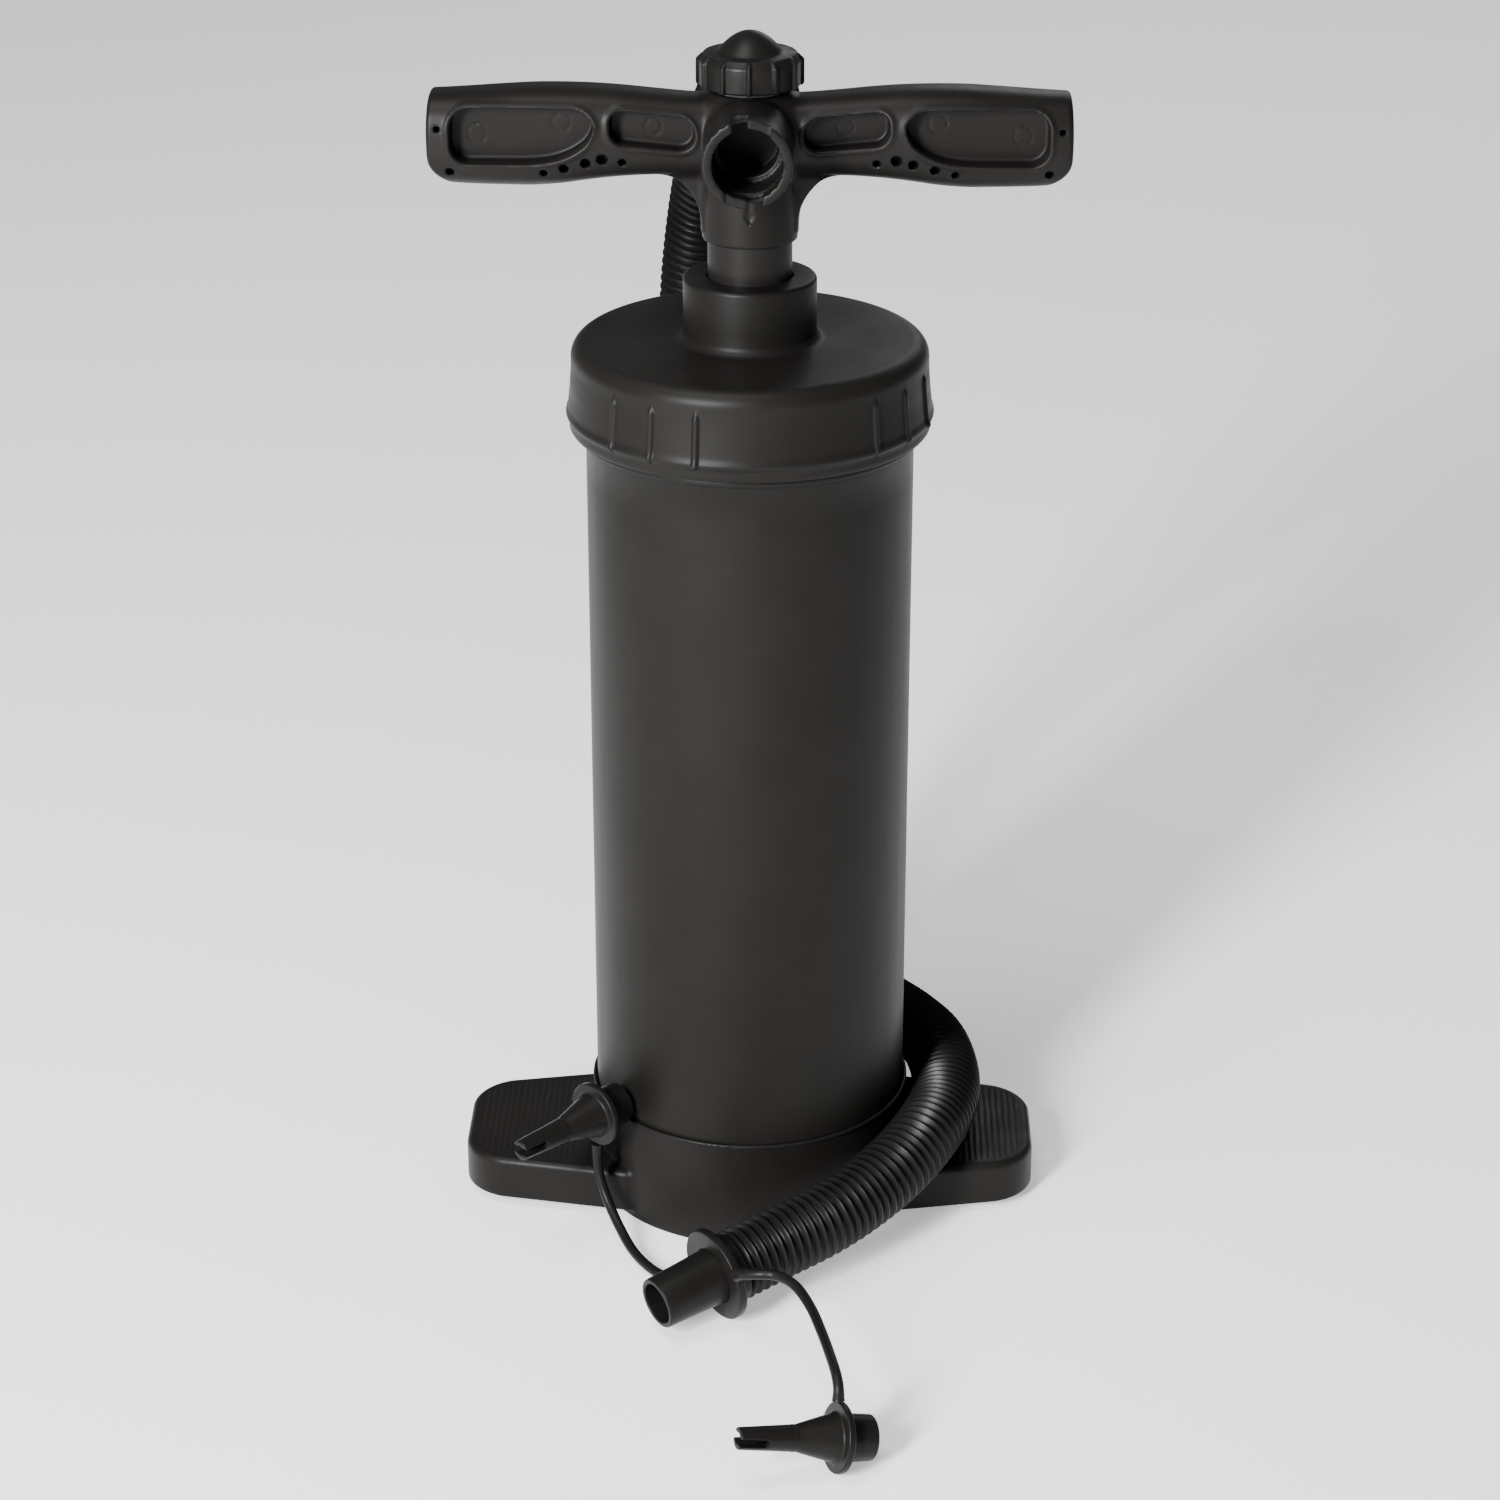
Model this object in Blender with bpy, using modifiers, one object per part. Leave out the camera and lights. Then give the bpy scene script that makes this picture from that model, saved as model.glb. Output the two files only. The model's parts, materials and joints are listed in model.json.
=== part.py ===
"""Double action hand pump, as an assembly of separate parts.

Every length in this file is in millimetres and every angle in degrees; the helpers below turn them
into metres and radians.  +Z is up, the floor is z = 0 and the barrel's axis is the Z axis.  The
handle runs along X, the intake port faces -Y and the hose leaves the outlet port towards +Y.
The plunger is modelled fully down.
"""
import math

import bmesh
import bpy
from mathutils import Matrix, Vector

MM = 0.001
GAP = 0.3                      # clearance between pieces that touch on the real pump

# sides of a round shape: barrel-sized, rod-sized and small
WIDE, ROUND, SMALL = 44, 28, 18

# barrel and base
BARREL_R = 63.0
BORE_R = 59.5
COLLAR_R = 63.7
SOCKET_R = 61.7
SEAM_Z = 45.4
BASE_FLOOR_Z = 16.0
BARREL_TOP_Z = 352.0
FLANGE_R = 66.2
FLANGE_Z = (325.0, 327.5)
PEDAL_Z = (3.7, 21.6)
PEDAL_HALF_X = 116.8
PEDAL_ROOT = (50.0, 44.0)      # x, y where a pedal's side meets the collar
PEDAL_TIP_Y = 31.2

# screw cap
CAP_TOP_Z = 362.5
CAP_LIP_Z = 328.2
CAP_R = 68.3
CAP_BEAD_R = 70.6
BOSS_R = 25.4
BOSS_TOP_Z = 387.0
CEILING_Z = 359.0
CAP_RIB_GROUPS = (59.0, 149.0, 239.0, 329.0)
CAP_RIB_STEP = 15.3

# piston rod
ROD_R = 16.0
ROD_BORE_R = 13.0
INNER_R = 9.0
INNER_BORE_R = 7.5
ROD_TOP_Z = 423.0
INNER_TOP_Z = 430.0

# piston
LOWER_PLATE_Z = (26.0, 31.0)
UPPER_PLATE_Z = (56.0, 61.0)
PLATE_R = 58.6
DRUM_R = 54.0
DRUM_WALL = 2.5
HUB_R = 20.0
ROD_SEAT_Z = 47.0
PARTITION_Z = (38.0, 41.0)
PISTON_SCREW_X = (-44.0, -28.0, 28.0, 44.0)
FLAP_HALF_X = 17.0
FLAP_Y = (24.0, 46.0)
FLAP_T = 1.2
VALVE_HOLES_X = (-10.0, 0.0, 10.0)
VALVE_HOLE_R = 4.0

# handle
PORT_Z = 441.6
PORT_R = 16.5
PORT_FACE_Y = 47.0
PORT_SOCKET_R = 13.05
PORT_DUCT_R = 11.0
NECK_R = 18.0
NECK_BOTTOM_Z = 401.7
HEAD_TOP_Z = 457.6
POCKET_FLOOR_Y = 6.5
# x, half height, half depth and centre height above the port axis of one grip's sections
GRIP_SECTIONS = (
    (0.0, 15.0, 13.0, -0.5), (22.0, 15.1, 13.2, -0.2), (34.0, 15.5, 13.6, 0.4), (48.0, 16.5, 14.4, 0.7),
    (60.0, 17.5, 15.0, 0.4), (70.0, 18.3, 15.4, -0.2), (80.0, 18.6, 15.6, -0.6), (92.0, 18.2, 15.6, -0.9),
    (108.0, 17.2, 15.2, -1.2), (116.5, 16.2, 14.4, -1.0), (119.4, 13.6, 12.4, -0.8),
)

# relief knob
KNOB_R = 20.1
KNOB_Z = (459.9, 471.9)
KNOB_DOME_TOP_Z = 480.0
KNOB_FLUTES = 12

# hose
HOSE_D = 28.5
HOSE_START_Y = 62.3
HOSE_ROUTE = (
    (0, 62.3, 441.6), (0, 73.3, 441.6), (0, 84.3, 441.6), (-3, 110, 436), (-8, 136, 421), (-14, 158, 397),
    (-20, 173, 365), (-25, 181, 328), (-27, 184.5, 290), (-27, 187, 250), (-25, 190, 210), (-20, 193, 170),
    (-12.5, 193, 130), (-2, 187, 91), (11, 173, 58), (26, 151, 34), (41, 124, 25.5), (55, 95, 28), (68, 66, 33.4),
    (77.5, 40, 36.6), (81.5, 12, 36.6), (79, -14, 36.6), (71, -38, 36.4), (59.5, -56.5, 32.5), (45, -72.5, 28),
    (30, -86.3, 25), (13.0, -99.1, 22.72), (4.15, -105.46, 21.3), (-4.7, -111.83, 19.88),
)
NOZZLE_FLANGE = (-10.5, -116.0, 18.95)
NOZZLE_TIP = (-33.3, -132.4, 15.3)
RING_R = 18.65

# loose adapters on their tethers: plug end and tip of each
ADAPTER_L = 53.0
ADAPTERS = (
    ((-51.65, -40.4, 52.3), (-89.4, -77.6, 50.7)),
    ((48.65, -213.4, 10.6), (0.3, -231.8, 22.05)),
)
TETHER_D = 3.4
TETHER_ROUTES = (
    ((-19.15, -101.9, 9.55), (-24, -97.5, 6.2), (-31.2, -93.6, 3.4), (-38.6, -86.2, 3.3), (-45.5, -75.5, 4.4),
     (-51.5, -64, 8.5), (-56.3, -55.5, 15), (-59.6, -51.2, 23.5), (-60.6, -49.5, 31), (-60.6, -49.3, 38.1)),
    ((-1.6, -130.3, 27.8), (0.7, -134.1, 30.1), (6.2, -136.6, 31.8), (13, -138.2, 32.2), (20.2, -145.5, 32.5),
     (26.2, -161, 32.8), (30.5, -179, 33.2), (33.6, -195, 33.8), (35.6, -205.5, 33.4), (36.66, -211.1, 30.75),
     (36.7, -212.95, 26.1)),
)

# finishes: colour, roughness, metallic
FINISHES = {
    "black_plastic": ((0.018, 0.017, 0.016), 0.42, 0.0),
    "hose_plastic": ((0.014, 0.014, 0.013), 0.38, 0.0),
    "white_plastic": ((0.62, 0.62, 0.58), 0.45, 0.0),
    "rubber": ((0.02, 0.02, 0.02), 0.75, 0.0),
    "steel": ((0.55, 0.55, 0.56), 0.3, 1.0),
}


# ---------------------------------------------------------------- scene and helpers
def clear_scene():
    for old in list(bpy.data.objects):
        bpy.data.objects.remove(old, do_unlink=True)


def new_collection(name):
    made = bpy.data.collections.new(name)
    bpy.context.scene.collection.children.link(made)
    return made


clear_scene()
PARTS = new_collection("double_action_hand_pump")
CUTTERS = new_collection("cutters")


def finish(kind):
    made = bpy.data.materials.get(kind)
    if made is None:
        colour, roughness, metallic = FINISHES[kind]
        made = bpy.data.materials.new(kind)
        made.use_nodes = True
        shader = made.node_tree.nodes["Principled BSDF"]
        shader.inputs["Base Color"].default_value = (*colour, 1.0)
        shader.inputs["Roughness"].default_value = roughness
        shader.inputs["Metallic"].default_value = metallic
        made.diffuse_color = (*colour, 1.0)
    return made


def metres(point):
    return Vector(point) * MM


def along(start, end):
    """Placement whose Z axis runs from start towards end."""
    axis = (Vector(end) - Vector(start)).normalized()
    return Matrix.Translation(metres(start)) @ axis.to_track_quat("Z", "Y").to_matrix().to_4x4()


def add(name, mesh, kind=None, placement=None):
    """Link a mesh as a part, or as a cutter when it has no finish."""
    made = bpy.data.objects.new(name, mesh)
    if placement:
        made.matrix_world = placement
    if kind is None:
        CUTTERS.objects.link(made)
        made.hide_render = True
        made.display_type = "WIRE"
    else:
        PARTS.objects.link(made)
        made.data.materials.append(finish(kind))
    return made


def mesh_of(name, bm):
    bmesh.ops.recalc_face_normals(bm, faces=bm.faces)
    mesh = bpy.data.meshes.new(name)
    bm.to_mesh(mesh)
    bm.free()
    return mesh


def turned(name, profile, steps, kind=None, placement=None, closed=True):
    """Solid of revolution; the profile's (radius, height) points run down its outer side."""
    mesh = bpy.data.meshes.new(name)
    edges = [(i, i + 1) for i in range(len(profile) - 1)]
    if closed:
        edges.append((len(profile) - 1, 0))
    mesh.from_pydata([(r * MM, 0.0, z * MM) for r, z in profile], edges, [])
    made = add(name, mesh, kind, placement)
    screw = made.modifiers.new("turn", "SCREW")
    screw.axis = "Z"
    screw.angle = math.tau
    screw.steps = screw.render_steps = steps
    screw.use_merge_vertices = True
    screw.merge_threshold = 0.00001
    return made


def ring(name, inner, outer, low, high, steps, kind, placement=None, chamfer=0.0):
    c = chamfer
    profile = [(inner + c, high), (outer - c, high), (outer, high - c), (outer, low + c), (outer - c, low),
               (inner + c, low), (inner, low + c), (inner, high - c)]
    if not chamfer:
        profile = [(inner, high), (outer, high), (outer, low), (inner, low)]
    return turned(name, profile, steps, kind, placement)


def rods(name, radius, ends, steps=24):
    """Cylinders between pairs of points, turned a little so that no edge lines up with a turned part's."""
    bm = bmesh.new()
    spin = Matrix.Rotation(0.07, 4, "Z")
    for start, end in ends:
        length = (Vector(end) - Vector(start)).length * MM
        bmesh.ops.create_cone(bm, cap_ends=True, segments=steps, radius1=radius * MM, radius2=radius * MM,
                              depth=length, matrix=along(start, end) @ spin @ Matrix.Translation((0, 0, length / 2)))
    return add(name, mesh_of(name, bm))


def blocks(name, boxes, bevel=0.0, turn=Matrix.Identity(4)):
    """Boxes given by their low and high corners, in one cutter."""
    bm = bmesh.new()
    for low, high in boxes:
        low, high = metres(low), metres(high)
        size = Matrix.Diagonal((*(high - low), 1.0))
        bmesh.ops.create_cube(bm, size=1.0, matrix=turn @ Matrix.Translation((low + high) / 2) @ size)
    if bevel:
        bmesh.ops.bevel(bm, geom=bm.edges[:], offset=bevel * MM, segments=2, profile=0.5, affect="EDGES")
    return add(name, mesh_of(name, bm))


def rounded(corners, radius, steps):
    """Outline with each corner replaced by a tangent arc."""
    outline = []
    for i, corner in enumerate(corners):
        here = Vector(corner)
        to_last = (Vector(corners[i - 1]) - here).normalized()
        to_next = (Vector(corners[(i + 1) % len(corners)]) - here).normalized()
        half = to_last.angle(to_next) / 2
        centre = here + (to_last + to_next).normalized() * radius / math.sin(half)
        first = here + to_last * radius / math.tan(half) - centre
        last = here + to_next * radius / math.tan(half) - centre
        for k in range(steps + 1):
            blend = first.lerp(last, k / steps).normalized() * radius
            outline.append(tuple(centre + blend))
    return outline


def slab(name, outline, low, high, kind=None, round_top=0.0, placement=None):
    """Flat outline in x and y, raised from low to high, with an optional rounded top edge."""
    bm = bmesh.new()
    face = bm.faces.new([bm.verts.new((x * MM, y * MM, low * MM)) for x, y in outline])
    raised = bmesh.ops.extrude_face_region(bm, geom=[face])["geom"]
    top = [v for v in raised if isinstance(v, bmesh.types.BMVert)]
    bmesh.ops.translate(bm, verts=top, vec=(0, 0, (high - low) * MM))
    if round_top:
        rim = [e for e in bm.edges if all(v in set(top) for v in e.verts)]
        bmesh.ops.bevel(bm, geom=rim, offset=round_top * MM, segments=3, profile=0.5, affect="EDGES")
    return add(name, mesh_of(name, bm), kind, placement)


def loft(name, sections, kind=None):
    """Skin over rings of points that all have the same number of points."""
    bm = bmesh.new()
    rings = [[bm.verts.new(metres(p)) for p in section] for section in sections]
    for near, far in zip(rings, rings[1:]):
        for k in range(len(near)):
            nxt = (k + 1) % len(near)
            bm.faces.new((near[k], near[nxt], far[nxt], far[k]))
    bm.faces.new(rings[0])
    bm.faces.new(rings[-1])
    return add(name, mesh_of(name, bm), kind)


def boolean(target, tools, operation):
    for tool in tools:
        step = target.modifiers.new(tool.name, "BOOLEAN")
        step.operation = operation
        step.solver = "EXACT"
        step.object = tool


def cut(target, *tools):
    boolean(target, tools, "DIFFERENCE")


def join(target, *tools):
    boolean(target, tools, "UNION")


def arc(centre, radius, start, end, steps):
    """Points (r, z) on an arc between two angles, both ends included."""
    angles = [math.radians(start + (end - start) * k / steps) for k in range(steps + 1)]
    return [(centre[0] + radius * math.cos(a), centre[1] + radius * math.sin(a)) for a in angles]


def smooth_path(route, spacing):
    """Points about spacing apart on a Catmull-Rom curve through the route."""
    points = [Vector(p) for p in route]
    points = [points[0] * 2 - points[1], *points, points[-1] * 2 - points[-2]]
    fine = []
    for a, b, c, d in zip(points, points[1:], points[2:], points[3:]):
        for k in range(20):
            t = k / 20
            fine.append(0.5 * (2 * b + (c - a) * t + (2 * a - 5 * b + 4 * c - d) * t * t
                               + (3 * b - a - 3 * c + d) * t ** 3))
    fine.append(points[-2])
    length = sum((q - p).length for p, q in zip(fine, fine[1:]))
    count = max(2, round(length / spacing))
    path, travelled, target = [fine[0]], 0.0, length / count
    for p, q in zip(fine, fine[1:]):
        step = (q - p).length
        while travelled + step >= target - 1e-6 and len(path) < count:
            path.append(p.lerp(q, (target - travelled) / step))
            target += length / count
        travelled += step
    path.append(fine[-1])
    return path


def tube(name, route, diameter, resolution, spacing, kind):
    path = smooth_path(route, spacing)
    curve = bpy.data.curves.new(name, "CURVE")
    curve.dimensions = "3D"
    curve.bevel_depth = diameter / 2 * MM
    curve.bevel_resolution = resolution
    curve.use_fill_caps = True
    spline = curve.splines.new("POLY")
    spline.points.add(len(path) - 1)
    for point, place in zip(spline.points, path):
        point.co = (*metres(place), 1.0)
    return add(name, curve, kind)


def joint_frame(name, location, parent=None):
    """Empty on a joint's axis that the moving pieces hang from."""
    made = bpy.data.objects.new(name, None)
    made.empty_display_size = 0.02
    PARTS.objects.link(made)
    made.location = metres(location)
    if parent:
        made.parent = parent
        made.matrix_parent_inverse = Matrix.Translation(parent["at"]).inverted()
    made["at"] = list(metres(location))
    return made


def hang(frame, *pieces):
    for piece in pieces:
        piece.parent = frame
        piece.matrix_parent_inverse = Matrix.Translation(frame["at"]).inverted()


# ---------------------------------------------------------------- base and barrel
def build_base():
    tip_y, (root_x, root_y) = PEDAL_TIP_Y, PEDAL_ROOT
    side = [(-PEDAL_HALF_X, -tip_y), (-root_x, -root_y), (root_x, -root_y), (PEDAL_HALF_X, -tip_y)]
    outline = rounded([*side, *((x, -y) for x, y in reversed(side))], 17.0, 5)
    base = slab("base_foot", outline, *PEDAL_Z, "black_plastic", round_top=3.0)
    collar = turned("collar_blank", [(0, SEAM_Z), (COLLAR_R - 0.5, SEAM_Z), (COLLAR_R, SEAM_Z - 0.5),
                                     (COLLAR_R, 1.0), (COLLAR_R - 1.0, 0), (0, 0)], WIDE, closed=False)
    join(base, collar)
    cut(base, rods("socket_cut", SOCKET_R, [((0, 0, BASE_FLOOR_Z), (0, 0, 60))], WIDE),
        rods("under_cut", 59.2, [((0, 0, -5), (0, 0, 12))], 48))
    rib, half_rib = 19.7, 1.2
    join(base, *[blocks(f"floor_rib_{axis}_{side}", [(low, high)]) for side in (-1, 1) for axis, low, high in (
        ("x", (side * rib - half_rib, -57.6, 1.5), (side * rib + half_rib, 57.6, 13)),
        ("y", (-57.6, side * rib - half_rib, 1.5), (57.6, side * rib + half_rib, 13)))])
    pockets = []
    for near, far, depth in ((67, 80, 34.5), (83, 96, 31.5), (99, 110.5, 26.0)):
        for side in (-1, 1):
            xs = sorted((side * near, side * far))
            for ys in ((1.5, depth), (-depth, -1.5)):
                pockets.append(((xs[0], ys[0], 0.0), (xs[1], ys[1], PEDAL_Z[1] - 3.0)))
    cut(base, blocks("pedal_pockets", pockets))
    return base


def build_barrel():
    top = BARREL_TOP_Z
    threads = []
    for z in (345.5, 337.5):
        threads += [(BARREL_R, z + 1.6), (BARREL_R + 2.0, z + 0.6), (BARREL_R + 2.0, z - 0.6), (BARREL_R, z - 1.6)]
    profile = [(BORE_R, top), (BARREL_R - 0.6, top), (BARREL_R, top - 0.6), *threads,
               (BARREL_R, FLANGE_Z[1]), (FLANGE_R, FLANGE_Z[1]), (FLANGE_R, FLANGE_Z[0]),
               (BARREL_R, FLANGE_Z[0] - 0.6), (BARREL_R, SEAM_Z + GAP), (SOCKET_R - GAP, SEAM_Z + GAP),
               (SOCKET_R - GAP, BASE_FLOOR_Z + 2.6), (BORE_R, BASE_FLOOR_Z + 2.6)]
    turned("barrel_tube", profile, WIDE, "black_plastic")
    ring("barrel_base_seal", BORE_R + 0.2, SOCKET_R - 0.5, BASE_FLOOR_Z + GAP, BASE_FLOOR_Z + 2.3, WIDE, "rubber")


def build_cap():
    edge_r, fillet, skirt_in = 7.0, 3.5, 66.0
    threads = []
    for z in (333.5, 341.5):
        threads += [(skirt_in, z - 1.4), (skirt_in - 2.0, z - 0.5), (skirt_in - 2.0, z + 0.5), (skirt_in, z + 1.4)]
    profile = [(16.6, BOSS_TOP_Z), *arc((BOSS_R - 2.0, BOSS_TOP_Z - 2.0), 2.0, 90, 0, 2),
               *arc((BOSS_R + fillet, CAP_TOP_Z + fillet), fillet, 180, 270, 2),
               *arc((CAP_R - edge_r, CAP_TOP_Z - edge_r), edge_r, 90, 0, 3),
               (CAP_R, 343.0), (69.3, 338.5), (CAP_BEAD_R - 0.3, 335.2), (CAP_BEAD_R, 333.8), (70.1, 331.8),
               (68.8, 330.4), (68.8, CAP_LIP_Z), (skirt_in, CAP_LIP_Z), *threads,
               (skirt_in, 355.0), (57.0, 355.0), (57.0, CEILING_Z), (21.1, CEILING_Z), (21.1, 383.2), (16.6, 383.2)]
    cap = turned("top_cap", profile, WIDE, "black_plastic")
    low, high = (CAP_R - 1.5, -0.9, 334.8), (CAP_R + 2.0, 0.9, 352.5)
    ribs = [blocks(f"cap_rib_{group:.0f}_{k}", [(low, high)],
                   turn=Matrix.Rotation(math.radians(group + k * CAP_RIB_STEP), 4, "Z"))
            for group in CAP_RIB_GROUPS for k in (-1, 0, 1)]
    join(cap, *ribs)
    ring("cap_gasket", BORE_R + 0.2, BARREL_R - 0.2, BARREL_TOP_Z + GAP, 354.7, WIDE, "rubber")
    ring("rod_guide_bush", ROD_R + 0.35, 20.8, CEILING_Z + GAP, 375.7, ROUND, "white_plastic", chamfer=0.6)
    ring("guide_retaining_ring", ROD_R + 1.0, 26.0, 355.3, CEILING_Z - GAP, ROUND, "white_plastic", chamfer=0.4)
    turned("rod_seal", [(16.9, 382.9), (20.8, 382.9), (20.8, 376.0), (17.4, 376.0), (17.4, 378.6),
                        (16.35, 379.6), (16.35, 382.3)], ROUND, "rubber")


# ---------------------------------------------------------------- plunger
def build_rod():
    outer = ring("rod_outer_tube", ROD_BORE_R, ROD_R, ROD_SEAT_Z + GAP, ROD_TOP_Z, ROUND, "black_plastic", chamfer=0.5)
    inner = ring("rod_inner_tube", INNER_BORE_R, INNER_R, PARTITION_Z[0] + 0.4, INNER_TOP_Z, ROUND, "white_plastic")
    return [outer, inner]


def build_plate(name, span, rod_hole_r, screw_ends):
    low, high = span
    plate = turned(name, [(0, high), (PLATE_R - 0.8, high), (PLATE_R, high - 0.8), (PLATE_R, low + 0.8),
                          (PLATE_R - 0.8, low), (0, low)], WIDE, "white_plastic", closed=False)
    valve_y = sum(FLAP_Y) / 2
    holes = [((x, y, low - 2), (x, y, high + 2)) for x in VALVE_HOLES_X for y in (valve_y, -valve_y)]
    cut(plate, rods(name + "_valve_holes", VALVE_HOLE_R, holes, 10),
        rods(name + "_screw_holes", 1.6, screw_ends, 8))
    if rod_hole_r:
        cut(plate, rods(name + "_rod_hole", rod_hole_r, [((0, 0, low - 2), (0, 0, high + 2))], ROUND))
    return plate


def build_piston():
    low, high = LOWER_PLATE_Z[1] + GAP, UPPER_PLATE_Z[0] - GAP
    lower = build_plate("piston_lower_plate", LOWER_PLATE_Z, 0.0, [((x, 0, 20), (x, 0, 40)) for x in PISTON_SCREW_X])
    upper = build_plate("piston_upper_plate", UPPER_PLATE_Z, ROD_R + GAP,
                        [((x, 0, 50), (x, 0, 59.5)) for x in PISTON_SCREW_X])
    core = ring("piston_core", DRUM_R - DRUM_WALL, DRUM_R, low, high, WIDE, "white_plastic")
    wall = [((-DRUM_R + 1.2, -1.5, low), (DRUM_R - 1.2, 1.5, high))]
    join(core, blocks("piston_wall", wall), rods("piston_hub", HUB_R, [((0, 0, low), (0, 0, high))], ROUND))
    join(core, rods("piston_posts", 3.7, [((x, 0, low), (x, 0, high)) for x in PISTON_SCREW_X], 10))
    cut(core, rods("rod_seat", ROD_R + GAP, [((0, 0, ROD_SEAT_Z), (0, 0, high + 5))], ROUND),
        rods("annulus_chamber", ROD_BORE_R, [((0, 0, PARTITION_Z[1]), (0, 0, ROD_SEAT_Z + 1))], SMALL),
        rods("partition_hole", INNER_R + GAP, [((0, 0, PARTITION_Z[0]), (0, 0, PARTITION_Z[1] + 1))], SMALL),
        rods("outlet_chamber", 8.0, [((0, 0, low - 5), (0, 0, PARTITION_Z[0] + 1))], SMALL),
        rods("post_holes", 1.6, [((x, 0, low - 5), (x, 0, high + 5)) for x in PISTON_SCREW_X], 8),
        blocks("intake_window", [((-8, -25, PARTITION_Z[1] + 0.5), (8, -8, ROD_SEAT_Z - 0.5))]),
        blocks("outlet_window", [((-5, 4, low - 5), (5, 25, PARTITION_Z[0] - 1.5))]))
    seal = turned("piston_seal", [(DRUM_R + GAP, high - 0.4), (56.2, high - 0.4), (BORE_R - GAP, high - 3.5),
                                  (BORE_R - GAP, high - 5.0), (57.0, high - 8.0), (57.0, low + 8.0),
                                  (BORE_R - GAP, low + 5.0), (BORE_R - GAP, low + 3.5), (56.2, low + 0.4),
                                  (DRUM_R + GAP, low + 0.4)], WIDE, "rubber")
    shank = [(0, 59.0), (1.25, 58.4), (1.25, 25.7), (2.8, 25.7), (2.8, 24.2), (2.2, 23.6), (0, 23.6)]
    screws = [turned(f"piston_screw_{number}", shank, 10, "steel", Matrix.Translation(metres((x, 0, 0))), closed=False)
              for number, x in enumerate(PISTON_SCREW_X, 1)]
    return [lower, upper, core, seal, *screws]


def build_flap(name, side, low, plunger):
    """Rubber valve leaf hinged along its edge next to the hub."""
    corners = [(-FLAP_HALF_X, FLAP_Y[0]), (FLAP_HALF_X, FLAP_Y[0]), (FLAP_HALF_X, FLAP_Y[1]),
               (-FLAP_HALF_X, FLAP_Y[1])]
    outline = [(x, side * y) for x, y in rounded(corners, 3.0, 2)]
    leaf = slab(name, outline, low, low + FLAP_T, "rubber")
    frame = joint_frame(name + "_hinge", (0, side * FLAP_Y[0], low + FLAP_T / 2), plunger)
    hang(frame, leaf)


def build_flaps(plunger):
    build_flap("intake_flap_upper", -1, UPPER_PLATE_Z[1] + GAP, plunger)
    build_flap("intake_flap_lower", -1, LOWER_PLATE_Z[0] - GAP - FLAP_T, plunger)
    build_flap("outlet_flap_upper", 1, UPPER_PLATE_Z[0] - GAP - FLAP_T, plunger)
    build_flap("outlet_flap_lower", 1, LOWER_PLATE_Z[1] + GAP, plunger)


# ---------------------------------------------------------------- handle
def grip_ring(x, half_height, half_depth, lift):
    """Superellipse section of the handle bar, squarer than an ellipse."""
    points, count, squareness = [], 16, 2.4
    for k in range(count):
        a = math.tau * k / count
        c, s = math.cos(a), math.sin(a)
        y = half_depth * math.copysign(abs(c) ** (2 / squareness), c)
        z = half_height * math.copysign(abs(s) ** (2 / squareness), s)
        points.append((x, y, PORT_Z + lift + z))
    return points


def pockets(name, x_near, x_far, z_low, z_high, radius):
    """Cutters for one pocket in the front and back of both grips; heights are from the port axis."""
    made = []
    for side in (-1, 1):
        xs = sorted((side * x_near, side * x_far))
        outline = rounded([(xs[0], z_low), (xs[1], z_low), (xs[1], z_high), (xs[0], z_high)], radius, 3)
        for face in (-1, 1):
            lows, highs = sorted((face * POCKET_FLOOR_Y, face * 20.0))
            # the outline's y becomes the handle's z, and its height becomes -y
            stand = Matrix.Translation((0, 0, PORT_Z * MM)) @ Matrix.Rotation(math.pi / 2, 4, "X")
            made.append(slab(f"{name}_{side}_{face}", outline, -highs, -lows, placement=stand))
    return made


def port_cutters(face):
    """Duct, hose socket, lock groove and bayonet slots of the port whose mouth is at face * PORT_FACE_Y."""
    mouth, word = face * (PORT_FACE_Y + 1.0), "front" if face < 0 else "rear"
    duct_end = -11.0 if face < 0 else -6.0
    made = [rods(word + "_duct", PORT_DUCT_R, [((0, duct_end, PORT_Z), (0, mouth, PORT_Z))], SMALL),
            rods(word + "_socket", PORT_SOCKET_R, [((0, face * 30.0, PORT_Z), (0, mouth, PORT_Z))], ROUND - 2),
            rods(word + "_lock_groove", 14.9, [((0, face * 38.5, PORT_Z), (0, face * 44.0, PORT_Z))], ROUND - 2)]
    for turn in (0, 180):
        spin = Matrix.Translation((0, 0, PORT_Z * MM)) @ Matrix.Rotation(math.radians(turn), 4, "Y")
        deep, ramp = sorted((face * 39.0, mouth)), sorted((face * 43.5, mouth))
        made.append(blocks(f"{word}_slot_{turn}", [((-5.8, deep[0], 9.0), (0.2, deep[1], 15.5))], turn=spin))
        made.append(blocks(f"{word}_ramp_{turn}", [((0.1, ramp[0], 8.0), (8.8, ramp[1], 15.7))], turn=spin))
    return made


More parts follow.
